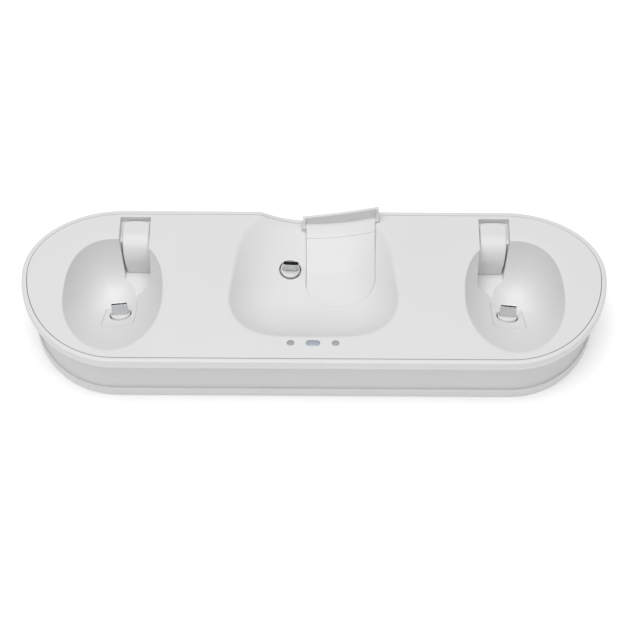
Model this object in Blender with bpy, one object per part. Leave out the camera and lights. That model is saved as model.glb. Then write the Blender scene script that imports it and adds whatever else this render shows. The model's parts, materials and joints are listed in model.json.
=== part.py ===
# Charging dock for a headset and two hand controllers, as an assembly of separate pieces.
# Metres, +Z up. The origin is on the table, under the middle of the dock. -Y is the user's side.
import bpy
import bmesh
from math import cos, sin, pi, radians, sqrt
from mathutils import Matrix, Vector

MM = 0.001

# Overall plan: a straight middle with an elliptical quarter at each corner
LENGTH = 296 * MM
DEPTH = 100 * MM
TOP_Z = 34 * MM              # flat top above the table
END_RUN = 50 * MM            # how far the rounded ends reach in from the left and right
WIDEST_BACK = 42 * MM        # the widest line lies this far in front of the back edge
CORNER_STEPS = 9             # segments in a corner quarter

# Walls and clearances
GAP = 0.3 * MM               # between neighbouring pieces
PLATE = 3.0 * MM             # thickness of the flat top
WALL = 2.1 * MM              # wall of bowls, trough and channels
RIM_IN = 2.6 * MM            # parting line between the rim and the top shell, in from the outline
RIM_DROP = 7.0 * MM          # height of the rim's outer face
RIM_WALL = 3.4 * MM          # inside of the rim, in from the outline
SEAT_ROOM = 1.2 * MM         # the rim's inner ledge stays this far below the trough's wall
BAND_IN = 5.0 * MM           # bottom band, in from the outline
BAND_Z = 6.6 * MM            # top of the bottom band
WAIST_IN = 8.8 * MM          # deepest point of the hollow waist, in from the outline
WAIST_WALL = 2.0 * MM

# Bottom tray, feet and screws
TRAY_Z = 0.9 * MM            # underside of the tray above the table
TRAY_FLOOR = 1.9 * MM
TRAY_WALL = 2.2 * MM
FOOT_R = 6.0 * MM
FOOT_INTO = 0.7 * MM         # depth of a foot's pocket in the tray
FEET = ((124 * MM, 14 * MM), (84 * MM, 34 * MM), (84 * MM, -36 * MM))
SCREW_R = 1.1 * MM
SCREW_LENGTH = 12 * MM
HEAD_R = 2.5 * MM
HEAD_H = 1.8 * MM
HEAD_DEEP = 0.9 * MM         # screw heads sit this far up inside the tray
POST_R = 2.7 * MM
BOSS_R = 4.0 * MM             # bosses round the screws in the tray
BOSS_UNDER = 0.7 * MM         # they end this far below the seam of the tray
SCREWS = ((132.9 * MM, 4 * MM), (61 * MM, 30 * MM), (61 * MM, -31 * MM))

# End bays: a bowl with a straight-sided channel behind it
BAY_X = 101 * MM
BAY_Y = -8 * MM
BOWL_HALF = 25 * MM          # half width of the bowl's opening
BOWL_FRONT = 34.8 * MM
BOWL_BACK = 38 * MM
BOWL_DEEP = 25 * MM
BOWL_LOW = Vector((2 * MM, 14 * MM))       # lowest point from the opening's middle, outward and back
BOWL_CURVE = {"front": 1.15, "back": 3.0, "outer": 2.6, "inner": 2.0}
CHANNEL_X = 92.5 * MM
CHANNEL_W = 15.6 * MM
CHANNEL_BACK = 45 * MM
CHANNEL_BACK_WALL = 1.15 * MM              # thinner than the rest: it stands inside the rim
CHANNEL_FRONT = 8.5 * MM
LEDGE_Z = 14 * MM            # floor of the channel's deep part
SHELF_DOWN = 3.4 * MM        # floor of its shallow part, below the flat top
SHELF_FLOOR = 1.6 * MM       # thickness of that floor
SHELF_FRONT = 31 * MM
LEAN = 0.14                  # how far the channel leans inward for each unit of depth
CHUTE_W = 13.2 * MM
CHUTE_DOWN = 1.6 * MM        # chute's top below the flat top
CHUTE_FACE = 24.4 * MM       # its upright face
CHUTE_ROUND = 12 * MM        # radius of the roll between top and face

# Middle bay: a trough, open at the back
TROUGH_W = 43.3 * MM         # half width at its widest line
TROUGH_WIDEST = -12 * MM
TROUGH_D = 14 * MM
TROUGH_MID = -2 * MM         # deepest line
TROUGH_FRONT = -33.4 * MM
TROUGH_REAR = 44 * MM
TROUGH_LIP = 7 * MM          # depth where the trough meets the back edge
TROUGH_SQUARE = 4.0          # how square its section is at the front, and at the back
TROUGH_SQUARE_REAR = 2.2
TROUGH_TAPER = 0.115
TROUGH_SHOULDER = 20 * MM    # its sides start to curve in here
TROUGH_SHOULDER_IN = 11 * MM

# Strap pocket, right of the middle of the trough
POCKET_X = 13.5 * MM
POCKET_HALF = 17.7 * MM
POCKET_FRONT = -3 * MM
POCKET_BEND = 11 * MM        # where its straight sides end and the round front begins
POCKET_SPLIT = 36 * MM       # pad in front of this line, strap rest behind it
POCKET_DEEP = 3.0 * MM
PAD_LOW = 1.6 * MM           # top of the pad below the trough's surface, on the left
REST_LIP = 2.0 * MM          # rim of the rest outside the pocket's sides
REST_BACK = 46.8 * MM
REST_PLATE = 0.9 * MM
REST_WALL = 1.8 * MM
REST_TOP = (34.5 * MM, 0.163, 1.48)        # height of the lip along X: constant, slope, curvature (1/m)
REST_FOOT = (29.6 * MM, 0.0224, 4.89)      # the same for the foot of its front face
REST_START = 18 * MM         # the floor begins to rise out of the trough here

# Floating plugs
PLUG_W = 8.34 * MM
PLUG_T = 2.56 * MM
PLUG_OUT = 6.65 * MM         # shell above the collar
PLUG_SKIN = 0.3 * MM
COLLAR_R = 5.2 * MM
COLLAR_H = 2.0 * MM
RING_GAP = 0.55 * MM
PIN_DOWN = 4.6 * MM          # hinge pin below the collar's face
PIN_R = 0.8 * MM
PIN_RUN = 0.05 * MM          # running clearance round the pin
STEM_W = 9.0 * MM
STEM_T = 4.4 * MM
STEM_DOWN = 6.2 * MM
SLOT_DOWN = 3.0 * MM         # socket for the shell in the carrier
CONTACT_SHARE = 0.3          # height of the contact block against the shell's
CHEEK = 1.2 * MM
BRACKET_T = 7.2 * MM
BRACKET_TOP = 2.8 * MM       # below the collar's face
BRACKET_BASE = 1.1 * MM
SPRING_T = 0.35 * MM
SPRING_W = 6 * MM
SPRING_FREE = 0.4 * MM       # play between the stem and each spring arm
CRADLE_W = 16.4 * MM
CRADLE_FRONT = 13 * MM       # cradle from the plug's axis, forward and back
CRADLE_BACK = 7.2 * MM
CRADLE_T = 1.9 * MM
BAY_PLUG = (-2.5 * MM, 4.5 * MM)           # plug from the bowl opening's middle, outward and back
MID_PLUG = (-12.3 * MM, 19.2 * MM)

# Lights, boards, inlet, ballast
LIGHT_Y = -37.6 * MM
LIGHT_STEP = 11.1 * MM
LIGHT_R = 1.7 * MM
LIGHT_OVAL = 1.7 * MM        # half of the straight part of the oval lens
LIGHT_LIP = 0.8 * MM         # flange that keeps a lens from falling out
LIGHT_BOARD = (34 * MM, 5.6 * MM, 1.0 * MM)
MAIN_BOARD = (76 * MM, 30 * MM, 1.6 * MM)
MAIN_BOARD_Y = 8 * MM
MAIN_BOARD_Z = 6.2 * MM
BOARD_PAD_X = 32 * MM
BOARD_PAD_R = 2.0 * MM
INLET_W = 8.9 * MM
INLET_T = 3.2 * MM
INLET_LONG = 7.4 * MM
INLET_Z = 12 * MM
BLADE = (INLET_W - 2.4 * MM, INLET_LONG - 1.6 * MM, 0.7 * MM)
INLET_BOARD = (18 * MM, 12 * MM, 1.2 * MM)
BALLAST = (48 * MM, 34 * MM, 1.6 * MM)
BALLAST_AT = (98 * MM, 15 * MM)
CABLE_R = 1.0 * MM

SHELF_Z = TOP_Z - SHELF_DOWN
PLAN_Y = DEPTH / 2 - WIDEST_BACK
HALF = LENGTH / 2
ABOVE = TOP_Z + 20 * MM      # cutters reach up to here


def clear_scene():
    for obj in list(bpy.data.objects):
        bpy.data.objects.remove(obj, do_unlink=True)


def make_material(name, color, roughness, metallic=0.0):
    mat = bpy.data.materials.new(name)
    mat.use_nodes = True
    shader = mat.node_tree.nodes["Principled BSDF"]
    shader.inputs["Base Color"].default_value = (*color, 1.0)
    shader.inputs["Roughness"].default_value = roughness
    shader.inputs["Metallic"].default_value = metallic
    mat.diffuse_color = (*color, 1.0)
    return mat


def make_object(name, verts, faces, finish=None, smooth=False):
    """A closed body from its points and faces, with its faces turned outward."""
    mesh = bpy.data.meshes.new(name)
    mesh.from_pydata([tuple(v) for v in verts], [], faces)
    bm = bmesh.new()
    bm.from_mesh(mesh)
    bmesh.ops.recalc_face_normals(bm, faces=bm.faces)
    bm.to_mesh(mesh)
    bm.free()
    if smooth:
        mesh.shade_smooth()
        mesh.set_sharp_from_angle(angle=radians(35))
    obj = bpy.data.objects.new(name, mesh)
    bpy.context.scene.collection.objects.link(obj)
    if finish:
        mesh.materials.append(make_material(name, *finish))
    return obj


def make_cutter(name, verts, faces):
    obj = make_object(name, verts, faces)
    obj.hide_render = True
    obj.display_type = "WIRE"
    return obj


def boolean(target, operand, operation="DIFFERENCE"):
    mod = target.modifiers.new(operation.title(), "BOOLEAN")
    mod.operation = operation
    mod.solver = "EXACT"
    mod.object = operand


def boolean_all(target, name, operands, operation):
    """Join or cut with several bodies at once, which share a collection of their own."""
    group = bpy.data.collections.new(name)
    bpy.context.scene.collection.children.link(group)
    for operand in operands:
        group.objects.link(operand)
        bpy.context.scene.collection.objects.unlink(operand)
    mod = target.modifiers.new(operation.title(), "BOOLEAN")
    mod.operation = operation
    mod.solver = "EXACT"
    mod.operand_type = "COLLECTION"
    mod.collection = group


# ---------------------------------------------------------------- shapes
def loft(rings, ring_closed=False):
    """Skin a run of equal rings: capped at both ends, or joined end to start."""
    count = len(rings[0])
    verts = [p for ring in rings for p in ring]
    faces = []
    last = len(rings) if ring_closed else len(rings) - 1
    for i in range(last):
        a = i * count
        b = (i + 1) % len(rings) * count
        for j in range(count):
            k = (j + 1) % count
            faces.append((a + j, a + k, b + k, b + j))
    if not ring_closed:
        faces.append(tuple(range(count)))
        faces.append(tuple(range((len(rings) - 1) * count, len(rings) * count)))
    return verts, faces


def prism(outline, z_low, z_high):
    return loft([[Vector((x, y, z)) for x, y in outline] for z in (z_low, z_high)])


def box(center, size):
    """A box on its centre in X and Y, standing on its base in Z."""
    x, y, z = center
    w, d, h = size
    corners = ((-1, -1), (1, -1), (1, 1), (-1, 1))
    return prism([(x + i * w / 2, y + j * d / 2) for i, j in corners], z, z + h)


def join(*parts):
    """Put several bodies into one list of points and faces."""
    verts = []
    faces = []
    for part_verts, part_faces in parts:
        shift = len(verts)
        verts += list(part_verts)
        faces += [tuple(i + shift for i in face) for face in part_faces]
    return verts, faces


def lathe(profile, steps=16):
    """Turn (radius, z) points round Z."""
    rings = []
    for radius, z in profile:
        turn = [2 * pi * i / steps for i in range(steps)]
        rings.append([Vector((radius * cos(a), radius * sin(a), z)) for a in turn])
    return loft(rings)


def stadium(half_straight, radius, steps=6):
    """A slot outline: half circles of the radius on both ends of a straight middle along X."""
    points = []
    for end in (1, -1):
        for i in range(steps + 1):
            a = -pi / 2 + pi * i / steps
            points.append((end * (half_straight + radius * cos(a)), end * radius * sin(a)))
    return points


def slab(grid, low, high):
    """Solid between two heights given as functions of x and y, over a grid of (x, y) rows.
    Every quad is split the same way, so that a piece and its seat stay the same distance apart."""
    rows = len(grid)
    cols = len(grid[0])
    verts = [Vector((x, y, low(x, y))) for row in grid for x, y in row]
    verts += [Vector((x, y, high(x, y))) for row in grid for x, y in row]
    top = rows * cols
    faces = []
    for r in range(rows - 1):
        for c in range(cols - 1):
            a = r * cols + c
            for half in ((a, a + 1, a + cols + 1), (a, a + cols + 1, a + cols)):
                faces.append(half)
                faces.append(tuple(i + top for i in half))
    edge = [c for c in range(cols)]
    edge += [r * cols + cols - 1 for r in range(1, rows)]
    edge += [(rows - 1) * cols + c for c in range(cols - 2, -1, -1)]
    edge += [r * cols for r in range(rows - 2, 0, -1)]
    for i, a in enumerate(edge):
        b = edge[(i + 1) % len(edge)]
        faces.append((a, b, b + top, a + top))
    return verts, faces


def mirrored(part):
    verts, faces = part
    return [Vector((-v.x, v.y, v.z)) for v in verts], faces


# ---------------------------------------------------------------- the dock's own surfaces
def trough_share(y):
    """0 on the trough's deepest line, 1 where it meets the back edge."""
    return min(max((y - TROUGH_MID) / (TROUGH_REAR - TROUGH_MID), 0.0), 1.0)


def trough_half(y):
    half = TROUGH_W - TROUGH_TAPER * max(y - TROUGH_WIDEST, 0.0)
    past = max(y - TROUGH_SHOULDER, 0.0) / (DEPTH / 2 - TROUGH_SHOULDER)
    return half - TROUGH_SHOULDER_IN * past ** 2.5


def trough_depth(x, y):
    """Depth of the trough below the flat top; negative outside it."""
    share = trough_share(y)
    square = TROUGH_SQUARE + (TROUGH_SQUARE_REAR - TROUGH_SQUARE) * share
    across = abs(x / trough_half(y)) ** square
    if y < TROUGH_MID:
        ahead = ((TROUGH_MID - y) / (TROUGH_MID - TROUGH_FRONT)) ** 2.2
        return TROUGH_D * (1 - across - ahead)
    deep = TROUGH_D + (TROUGH_LIP - TROUGH_D) * share ** 1.25
    return deep * (1 - across)


def trough_z(x, y):
    return TOP_Z - max(trough_depth(x, y), 0.0)


def back_dip(x):
    """How far the back edge is lowered where the trough runs out over it."""
    return max(trough_depth(x, DEPTH / 2 - RIM_IN), 0.0)


def bowl_rim(angle, grow=0.0):
    """Outline of the right bowl's opening: four quarter superellipses."""
    c, s = cos(angle), sin(angle)
    square = 2.5 if s > 0 else 2.0
    reach = (BOWL_BACK if s > 0 else BOWL_FRONT) + grow
    x = (BOWL_HALF + grow) * (abs(c) ** (2 / square)) * (1 if c > 0 else -1)
    y = reach * (abs(s) ** (2 / square)) * (1 if s > 0 else -1)
    return Vector((BAY_X + x, BAY_Y + y))


def bowl_low():
    return Vector((BAY_X, BAY_Y)) + BOWL_LOW


def bowl_curve(direction):
    """Exponent of the bowl's wall: near 1 is a plain slope, 3 is a steep wall with a flat floor."""
    flat = direction.normalized()
    along_y = BOWL_CURVE["back"] if flat.y > 0 else BOWL_CURVE["front"]
    along_x = BOWL_CURVE["outer"] if flat.x > 0 else BOWL_CURVE["inner"]
    return flat.y ** 2 * along_y + flat.x ** 2 * along_x


def bowl_solid(grow, deeper, steps=30):
    """Right bowl as a solid: the cutter reaches past the flat top, the grown one stops inside the plate."""
    low = bowl_low()
    rim_z = TOP_Z if grow == 0 else TOP_Z - PLATE / 3
    shares = (0.06, 0.2, 0.36, 0.52, 0.68, 0.84, 1.0)
    if grow == 0:
        shares += (1.04,)
    rings = []
    for share in shares:
        ring = []
        for i in range(steps):
            rim = bowl_rim(2 * pi * (i + 0.5) / steps, grow)
            spot = low + share * (rim - low)
            depth = (BOWL_DEEP + deeper + rim_z - TOP_Z) * (1 - share ** bowl_curve(rim - low))
            ring.append(Vector((spot.x, spot.y, rim_z - depth)))
        rings.append(ring)
    if grow == 0:
        rings.append([Vector((p.x, p.y, ABOVE)) for p in rings[-1]])
    return loft(rings)


def bowl_z(x, y):
    """Height of the right bowl's surface."""
    low = bowl_low()
    ray = Vector((x, y)) - low
    inner, outer = 0.0, 2.0
    for _ in range(30):
        share = (inner + outer) / 2
        spot = ray / share
        offset = low + spot - Vector((BAY_X, BAY_Y))
        square = 2.5 if offset.y > 0 else 2.0
        reach = BOWL_BACK if offset.y > 0 else BOWL_FRONT
        beyond = abs(offset.x / BOWL_HALF) ** square + abs(offset.y / reach) ** square
        inner, outer = (share, outer) if beyond > 1 else (inner, share)
    return TOP_Z - BOWL_DEEP * (1 - share ** bowl_curve(ray))


def surface_frame(height, x, y):
    """Place and turn of a piece that stands square on a surface at x, y, with its own X across the dock."""
    step = 2 * MM
    slope_x = (height(x + step, y) - height(x - step, y)) / (2 * step)
    slope_y = (height(x, y + step) - height(x, y - step)) / (2 * step)
    up = Vector((-slope_x, -slope_y, 1)).normalized()
    across = Vector((1, 0, slope_x)).normalized()
    ahead = up.cross(across)
    turn = Matrix((across, ahead, up)).transposed().to_4x4()
    return Matrix.Translation((x, y, height(x, y))) @ turn


def plan(inset, corner_steps=CORNER_STEPS):
    """Outline of the dock, moved inward, with extra points along the dipped part of the back edge."""
    points = []
    run = END_RUN - inset
    turn = HALF - END_RUN
    for quarter in range(4):
        side = 1 if quarter in (0, 3) else -1
        reach = (WIDEST_BACK if quarter < 2 else DEPTH - WIDEST_BACK) - inset
        if quarter == 1:
            points += [(x, PLAN_Y + reach) for x in dip_stations()]
        for i in range(corner_steps + 1):
            a = pi / 2 * (quarter + i / corner_steps)
            points.append((side * turn + run * cos(a), PLAN_Y + reach * sin(a)))
        if quarter in (0, 2):
            continue
        points.pop()
    return points


def dip_stations():
    """X of the extra points along the back edge, right to left."""
    wide = trough_half(DEPTH / 2 - RIM_IN) + 2 * MM
    return [wide * (1 - 2 * i / 12) for i in range(13)]


def dipped_ring(inset, z, low_z):
    """One ring of a swept section: it sinks with the dip of the back edge, less and less towards low_z."""
    share = (z - low_z) / (TOP_Z - low_z)
    ring = []
    for x, y in plan(inset):
        sink = back_dip(x) * share if y > PLAN_Y else 0.0
        ring.append(Vector((x, y, z - sink)))
    return ring


# ---------------------------------------------------------------- housing
WHITE = ((0.80, 0.80, 0.80), 0.45)
WHITE_FINE = ((0.83, 0.83, 0.83), 0.38)
STEEL = ((0.62, 0.62, 0.60), 0.25, 1.0)
ZINC = ((0.55, 0.55, 0.56), 0.45, 1.0)
BLACK = ((0.02, 0.02, 0.02), 0.5)
RUBBER = ((0.05, 0.05, 0.05), 0.85)
BOARD_GREEN = ((0.02, 0.16, 0.07), 0.45)


def upper_body_section():
    """(inset, z) points of the rim and the waist, from the parting line round the outside and back."""
    rim_low = TOP_Z - RIM_DROP
    seat_z = TOP_Z - max(PLATE + GAP, WALL + SEAT_ROOM)
    foot_z = BAND_Z + GAP
    inner = WAIST_IN + WAIST_WALL
    return [
        (RIM_IN, TOP_Z), (1.1 * MM, TOP_Z - 0.25 * MM), (0.3 * MM, TOP_Z - 0.9 * MM), (0, TOP_Z - 2.0 * MM),
        (0.35 * MM, TOP_Z - 4.5 * MM), (1.5 * MM, rim_low), (2.3 * MM, rim_low - 0.4 * MM),
        (WAIST_IN - 3.2 * MM, rim_low - 0.8 * MM), (WAIST_IN - 1.1 * MM, rim_low - 2.8 * MM),
        (WAIST_IN - 0.1 * MM, rim_low - 6.5 * MM), (WAIST_IN, rim_low - 10.5 * MM),
        (WAIST_IN - 0.7 * MM, foot_z + 5.2 * MM), (WAIST_IN - 2.0 * MM, foot_z + 2.0 * MM),
        (BAND_IN, foot_z), (BAND_IN + TRAY_WALL + 0.6 * MM, foot_z),
        (inner - 1.6 * MM, foot_z + 3.2 * MM), (inner - 0.2 * MM, foot_z + 7.0 * MM),
        (inner, rim_low - 9.0 * MM), (inner - 0.1 * MM, rim_low - 4.0 * MM),
        (inner - 1.6 * MM, rim_low - 0.6 * MM), (RIM_WALL, rim_low + 1.4 * MM), (RIM_WALL, seat_z),
        (RIM_IN, seat_z)]


def build_upper_body():
    low_z = BAND_Z + GAP
    rings = [dipped_ring(inset, z, low_z) for inset, z in upper_body_section()]
    body = make_object("upper_body", *loft(rings, ring_closed=True), WHITE, smooth=True)
    slot = [(x, z + INLET_Z) for x, z in stadium((INLET_W - INLET_T) / 2, INLET_T / 2 + GAP)]
    back = DEPTH / 2
    rings = [[Vector((x, y, z)) for x, z in slot] for y in (back - 16 * MM, back + 2 * MM)]
    boolean(body, make_cutter("inlet_hole", *loft(rings)))


def build_bottom_tray():
    edge = 0.6 * MM
    floor_z = TRAY_Z + TRAY_FLOOR
    inner = BAND_IN + TRAY_WALL
    section = [(BAND_IN + edge, TRAY_Z), (BAND_IN, TRAY_Z + edge), (BAND_IN, BAND_Z), (inner, BAND_Z),
               (inner, floor_z)]
    rings = [[Vector((x, y, z)) for x, y in plan(inset)] for inset, z in section]
    tray = make_object("bottom_tray", *loft(rings), WHITE, smooth=True)
    boss_top = BAND_Z - BOSS_UNDER
    bosses = []
    holes = []
    for x, y in screw_places():
        ring = lathe([(BOSS_R, TRAY_Z + edge), (BOSS_R, boss_top)])
        bosses.append(moved(ring, x, y))
        seat = TRAY_Z + HEAD_DEEP + HEAD_H + GAP
        hole = lathe([(HEAD_R + GAP, -1 * MM), (HEAD_R + GAP, seat), (SCREW_R + GAP, seat),
                      (SCREW_R + GAP, boss_top + 2 * MM)])
        holes.append(moved(hole, x, y))
    for x in (-BOARD_PAD_X, BOARD_PAD_X):
        pad = lathe([(BOARD_PAD_R, TRAY_Z + edge), (BOARD_PAD_R, MAIN_BOARD_Z - GAP)], 10)
        bosses.append(moved(pad, x, MAIN_BOARD_Y))
    for x, y in foot_places():
        holes.append(moved(lathe([(FOOT_R + GAP, -1 * MM), (FOOT_R + GAP, TRAY_Z + FOOT_INTO)], 20), x, y))
    boolean(tray, make_cutter("tray_bosses", *join(*bosses)), "UNION")
    boolean(tray, make_cutter("tray_holes", *join(*holes)))


def moved(part, x, y, z=0.0):
    verts, faces = part
    return [v + Vector((x, y, z)) for v in verts], faces


def screw_places():
    return [(side * x, y) for side in (-1, 1) for x, y in SCREWS]


def foot_places():
    return [(side * x, y) for side in (-1, 1) for x, y in FEET]


def leaning_block(section, half, middle=CHANNEL_X):
    """A (y, z) section given width across X, leaning with the channel."""
    rings = []
    for side in (-half, half):
        rings.append([Vector((middle + side - LEAN * (TOP_Z - z), y, z)) for y, z in section])
    return loft(rings)


def bay_channel(grow, top):
    """Right channel: a deep part and a shallow part, both leaning inward as they go down."""
    back = CHANNEL_BACK
    shelf = SHELF_Z
    if grow:
        back += CHANNEL_BACK_WALL
        shelf -= SHELF_FLOOR
    section = [(CHANNEL_FRONT - grow, LEDGE_Z - grow), (SHELF_FRONT + grow, LEDGE_Z - grow),
               (SHELF_FRONT + grow, shelf), (back, shelf),
               (back, top), (CHANNEL_FRONT - grow, top)]
    return leaning_block(section, CHANNEL_W / 2 + grow)


def pocket_rows(clear, front, back, steps=9, columns=6):
    """Rows of (x, y) over the strap pocket: straight sides with a round front end."""
    rows = []
    for i in range(steps + 1):
        y = front + clear + (back - front - 2 * clear) * i / steps
        half = POCKET_HALF
        if y < POCKET_BEND:
            ahead = (POCKET_BEND - y) / (POCKET_BEND - POCKET_FRONT)
            half = POCKET_HALF * sqrt(max(1 - ahead ** 2, 0.06))
        half -= clear
        rows.append([(POCKET_X + half * (2 * j / columns - 1), y) for j in range(columns + 1)])
    return rows


def arc_height(curve, x):
    base, slope, bend = curve
    return base + slope * x + bend * x * x


def strap_floor(x, y):
    """Surface that the strap lies on: it rises from the trough to the foot of the lip at the back."""
    leftness = min(max((POCKET_X + POCKET_HALF - x) / (2 * POCKET_HALF), 0.0), 1.0)
    ahead = trough_z(x, y) - PAD_LOW * leftness
    share = min(max((y - REST_START) / (TROUGH_REAR - REST_START), 0.0), 1.0)
    share = share * share * (3 - 2 * share)
    return ahead + (arc_height(REST_FOOT, x) - ahead) * share


def trough_solid(grow, top, y_high, columns, rows):
    """The trough as a solid over a grid that is finer near its sides; grown, it is a wall deeper."""
    half = TROUGH_W + grow + 2 * MM
    y_low = TROUGH_FRONT - grow - 2 * MM
    grid = []
    for r in range(rows + 1):
        y = y_low + (y_high - y_low) * r / rows
        spread = [2 * c / columns - 1 for c in range(columns + 1)]
        grid.append([(half * (1.3 * u - 0.3 * u ** 3), y) for u in spread])

    def low(x, y):
        near_x = x * TROUGH_W / (TROUGH_W + grow)
        near_y = y + grow if y < TROUGH_MID else y
        return min(TOP_Z - grow - trough_depth(near_x, near_y), top - PLATE / 6)

    return slab(grid, low, lambda x, y: top)


def build_top_shell():
    plate = prism(plan(RIM_IN + GAP), TOP_Z - PLATE, TOP_Z)
    shell = make_object("top_shell", *plate, WHITE_FINE, smooth=True)
    boolean_all(shell, "shell_walls", shell_walls(), "UNION")
    boolean_all(shell, "shell_cuts", shell_cuts(), "DIFFERENCE")


def shell_walls():
    """What hangs from the flat top: the hollows' walls, grown by their thickness, and the screw posts."""
    inside = TOP_Z - PLATE / 3
    edge_y = DEPTH / 2 - RIM_IN - GAP
    bowl = bowl_solid(WALL, WALL)
    channel = bay_channel(WALL, inside)
    trough = trough_solid(WALL, inside, edge_y - GAP / 3, 12, 14)
    rows = pocket_rows(-WALL * 0.7, POCKET_FRONT, POCKET_SPLIT)
    pocket = slab(rows, lambda x, y: trough_z(x, y) - POCKET_DEEP - WALL * 0.8, lambda x, y: inside)
    low = BAND_Z - BOSS_UNDER + GAP
    posts = [moved(lathe([(POST_R, low), (POST_R, inside)], 12), x, y) for x, y in screw_places()]
    walls = {"bowls_outside": join(bowl, mirrored(bowl)), "channels_outside": join(channel, mirrored(channel)),
             "trough_outside": trough, "pocket_outside": pocket, "posts": join(*posts)}
    return [make_cutter(name, *part) for name, part in walls.items()]


def shell_cuts():
    """The hollows themselves and the openings of the plugs, lights and screws."""
    edge_y = DEPTH / 2 - RIM_IN - GAP
    bowl = bowl_solid(0, 0)
    channel = bay_channel(0, ABOVE)
    rows = pocket_rows(0, POCKET_FRONT, POCKET_SPLIT)
    pocket = slab(rows, lambda x, y: trough_z(x, y) - POCKET_DEEP, lambda x, y: ABOVE)
    rows = rest_rows(GAP, (POCKET_SPLIT - 2 * GAP, *rest_stations(), edge_y + 1 * MM))
    seat = slab(rows, lambda x, y: trough_z(x, y) - REST_PLATE - GAP, lambda x, y: ABOVE)
    low = BAND_Z - BOSS_UNDER + GAP
    bore = lathe([(SCREW_R + GAP, 0), (SCREW_R + GAP, low + SCREW_LENGTH)], 12)
    cuts = {"bowls": join(bowl, mirrored(bowl)), "channels": join(channel, mirrored(channel)),
            "trough": trough_solid(0, ABOVE, edge_y + 2 * MM, 16, 18), "pocket": pocket, "rest_seat": seat,
            "post_bores": join(*[moved(bore, x, y) for x, y in screw_places()]),
            "light_holes": join(*[light(i, GAP, 0, ABOVE) for i in (-1, 0, 1)]),
            "light_seats": join(*[light(i, LIGHT_LIP + GAP, 0, TOP_Z - PLATE) for i in (-1, 0, 1)])}
    cutters = [make_cutter(name, *part) for name, part in cuts.items()]
    for name, frame in plug_frames().items():
        if name == "middle":
            hole = lathe([(COLLAR_R + RING_GAP, -8 * MM), (COLLAR_R + RING_GAP, 8 * MM)], 24)
        else:
            hole = cradle_block(GAP, -8 * MM, 14 * MM)
        cutter = make_cutter(name + "_opening", *hole)
        cutter.matrix_world = frame
        cutters.append(cutter)
    return cutters


def light(place, grow, low, high):
    straight = LIGHT_OVAL if place == 0 else 0.0
    outline = stadium(straight, LIGHT_R + grow, 8) if straight else stadium(0.05 * MM, LIGHT_R + grow, 6)
    return prism([(x + place * LIGHT_STEP, y + LIGHT_Y) for x, y in outline], low, high)


# ---------------------------------------------------------------- strap rest, chutes and cradles
def rest_stations():
    """Y of the rows that the strap rest shares with its seat, the last two at the lip's face."""
    face = REST_BACK - REST_WALL
    start = POCKET_SPLIT + GAP
    return start, (2 * start + face) / 3, (start + 2 * face) / 3, face - 0.05 * MM, face, REST_BACK


def rest_rows(clear, y_values, columns=10):
    """Rows of (x, y) over the strap rest. Its seat has the same columns, and one more past each side."""
    side = POCKET_HALF + REST_LIP
    xs = [POCKET_X + side * (2 * c / columns - 1) for c in range(columns + 1)]
    if clear:
        xs = [xs[0] - clear, *xs, xs[-1] + clear]
    return [[(x, y) for x in xs] for y in y_values]


def build_strap_pieces():
    rows = rest_rows(0, rest_stations())
    face = REST_BACK - REST_WALL

    def low(x, y):
        return trough_z(x, y) - REST_PLATE

    def high(x, y):
        top = arc_height(REST_TOP, x) if y >= face else strap_floor(x, y)
        return max(top, low(x, y) + REST_PLATE)

    make_object("strap_rest", *slab(rows, low, high), WHITE)
    rows = pocket_rows(GAP, POCKET_FRONT, POCKET_SPLIT)
    bottom = POCKET_DEEP - GAP
    pad = slab(rows, lambda x, y: trough_z(x, y) - bottom, lambda x, y: strap_floor(x, y) - GAP)
    make_object("strap_pad", *pad, WHITE_FINE)


def build_chutes():
    top = TOP_Z - CHUTE_DOWN
    back = CHANNEL_BACK - GAP - 0.4 * MM
    section = [(CHUTE_FACE, LEDGE_Z + GAP), (SHELF_FRONT - GAP, LEDGE_Z + GAP),
               (SHELF_FRONT - GAP, SHELF_Z + GAP), (back, SHELF_Z + GAP), (back, top)]
    for i in range(9):
        a = pi / 2 * (1 + i / 8)
        section.append((CHUTE_FACE + CHUTE_ROUND * (1 + cos(a)), top - CHUTE_ROUND * (1 - sin(a))))
    block = leaning_block(section, CHUTE_W / 2, CHANNEL_X - 0.4 * MM)
    make_object("right_chute", *block, WHITE, smooth=True)
    make_object("left_chute", *mirrored(block), WHITE, smooth=True)


def cradle_block(grow, low, high):
    half = CRADLE_W / 2 + grow
    front, back = -CRADLE_FRONT - grow, CRADLE_BACK + grow
    return prism([(-half, front), (half, front), (half, back), (-half, back)], low, high)


# ---------------------------------------------------------------- plugs
def plug_frames():
    """Frame of each plug: on the surface, its Z square to it and its X across the dock."""
    x = BAY_X + BAY_PLUG[0]
    y = BAY_Y + BAY_PLUG[1]
    return {"left": surface_frame(lambda u, v: bowl_z(-u, v), -x, y),
            "middle": surface_frame(trough_z, *MID_PLUG),
            "right": surface_frame(bowl_z, x, y)}


def across_rod(radius, half_length, z, steps=16):
    """A rod along X at height z."""
    verts, faces = lathe([(radius, -half_length), (radius, half_length)], steps)
    return [Vector((v.z, v.x, v.y + z)) for v in verts], faces


def slot_ring(grow, z):
    straight = (PLUG_W - PLUG_T) / 2
    return [Vector((x, y, z)) for x, y in stadium(straight, PLUG_T / 2 + grow)]


def add_plug_piece(name, part, finish, pivot, smooth=False):
    """A piece of a plug, drawn from the collar's face, hung on the empty on the hinge's axis."""
    obj = make_object(name, *moved(part, 0, 0, PIN_DOWN), finish, smooth)
    obj.parent = pivot
    return obj


def cut_with(obj, name, part, pivot):
    cutter = make_cutter(name, *moved(part, 0, 0, PIN_DOWN))
    cutter.parent = pivot
    boolean(obj, cutter)


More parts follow.
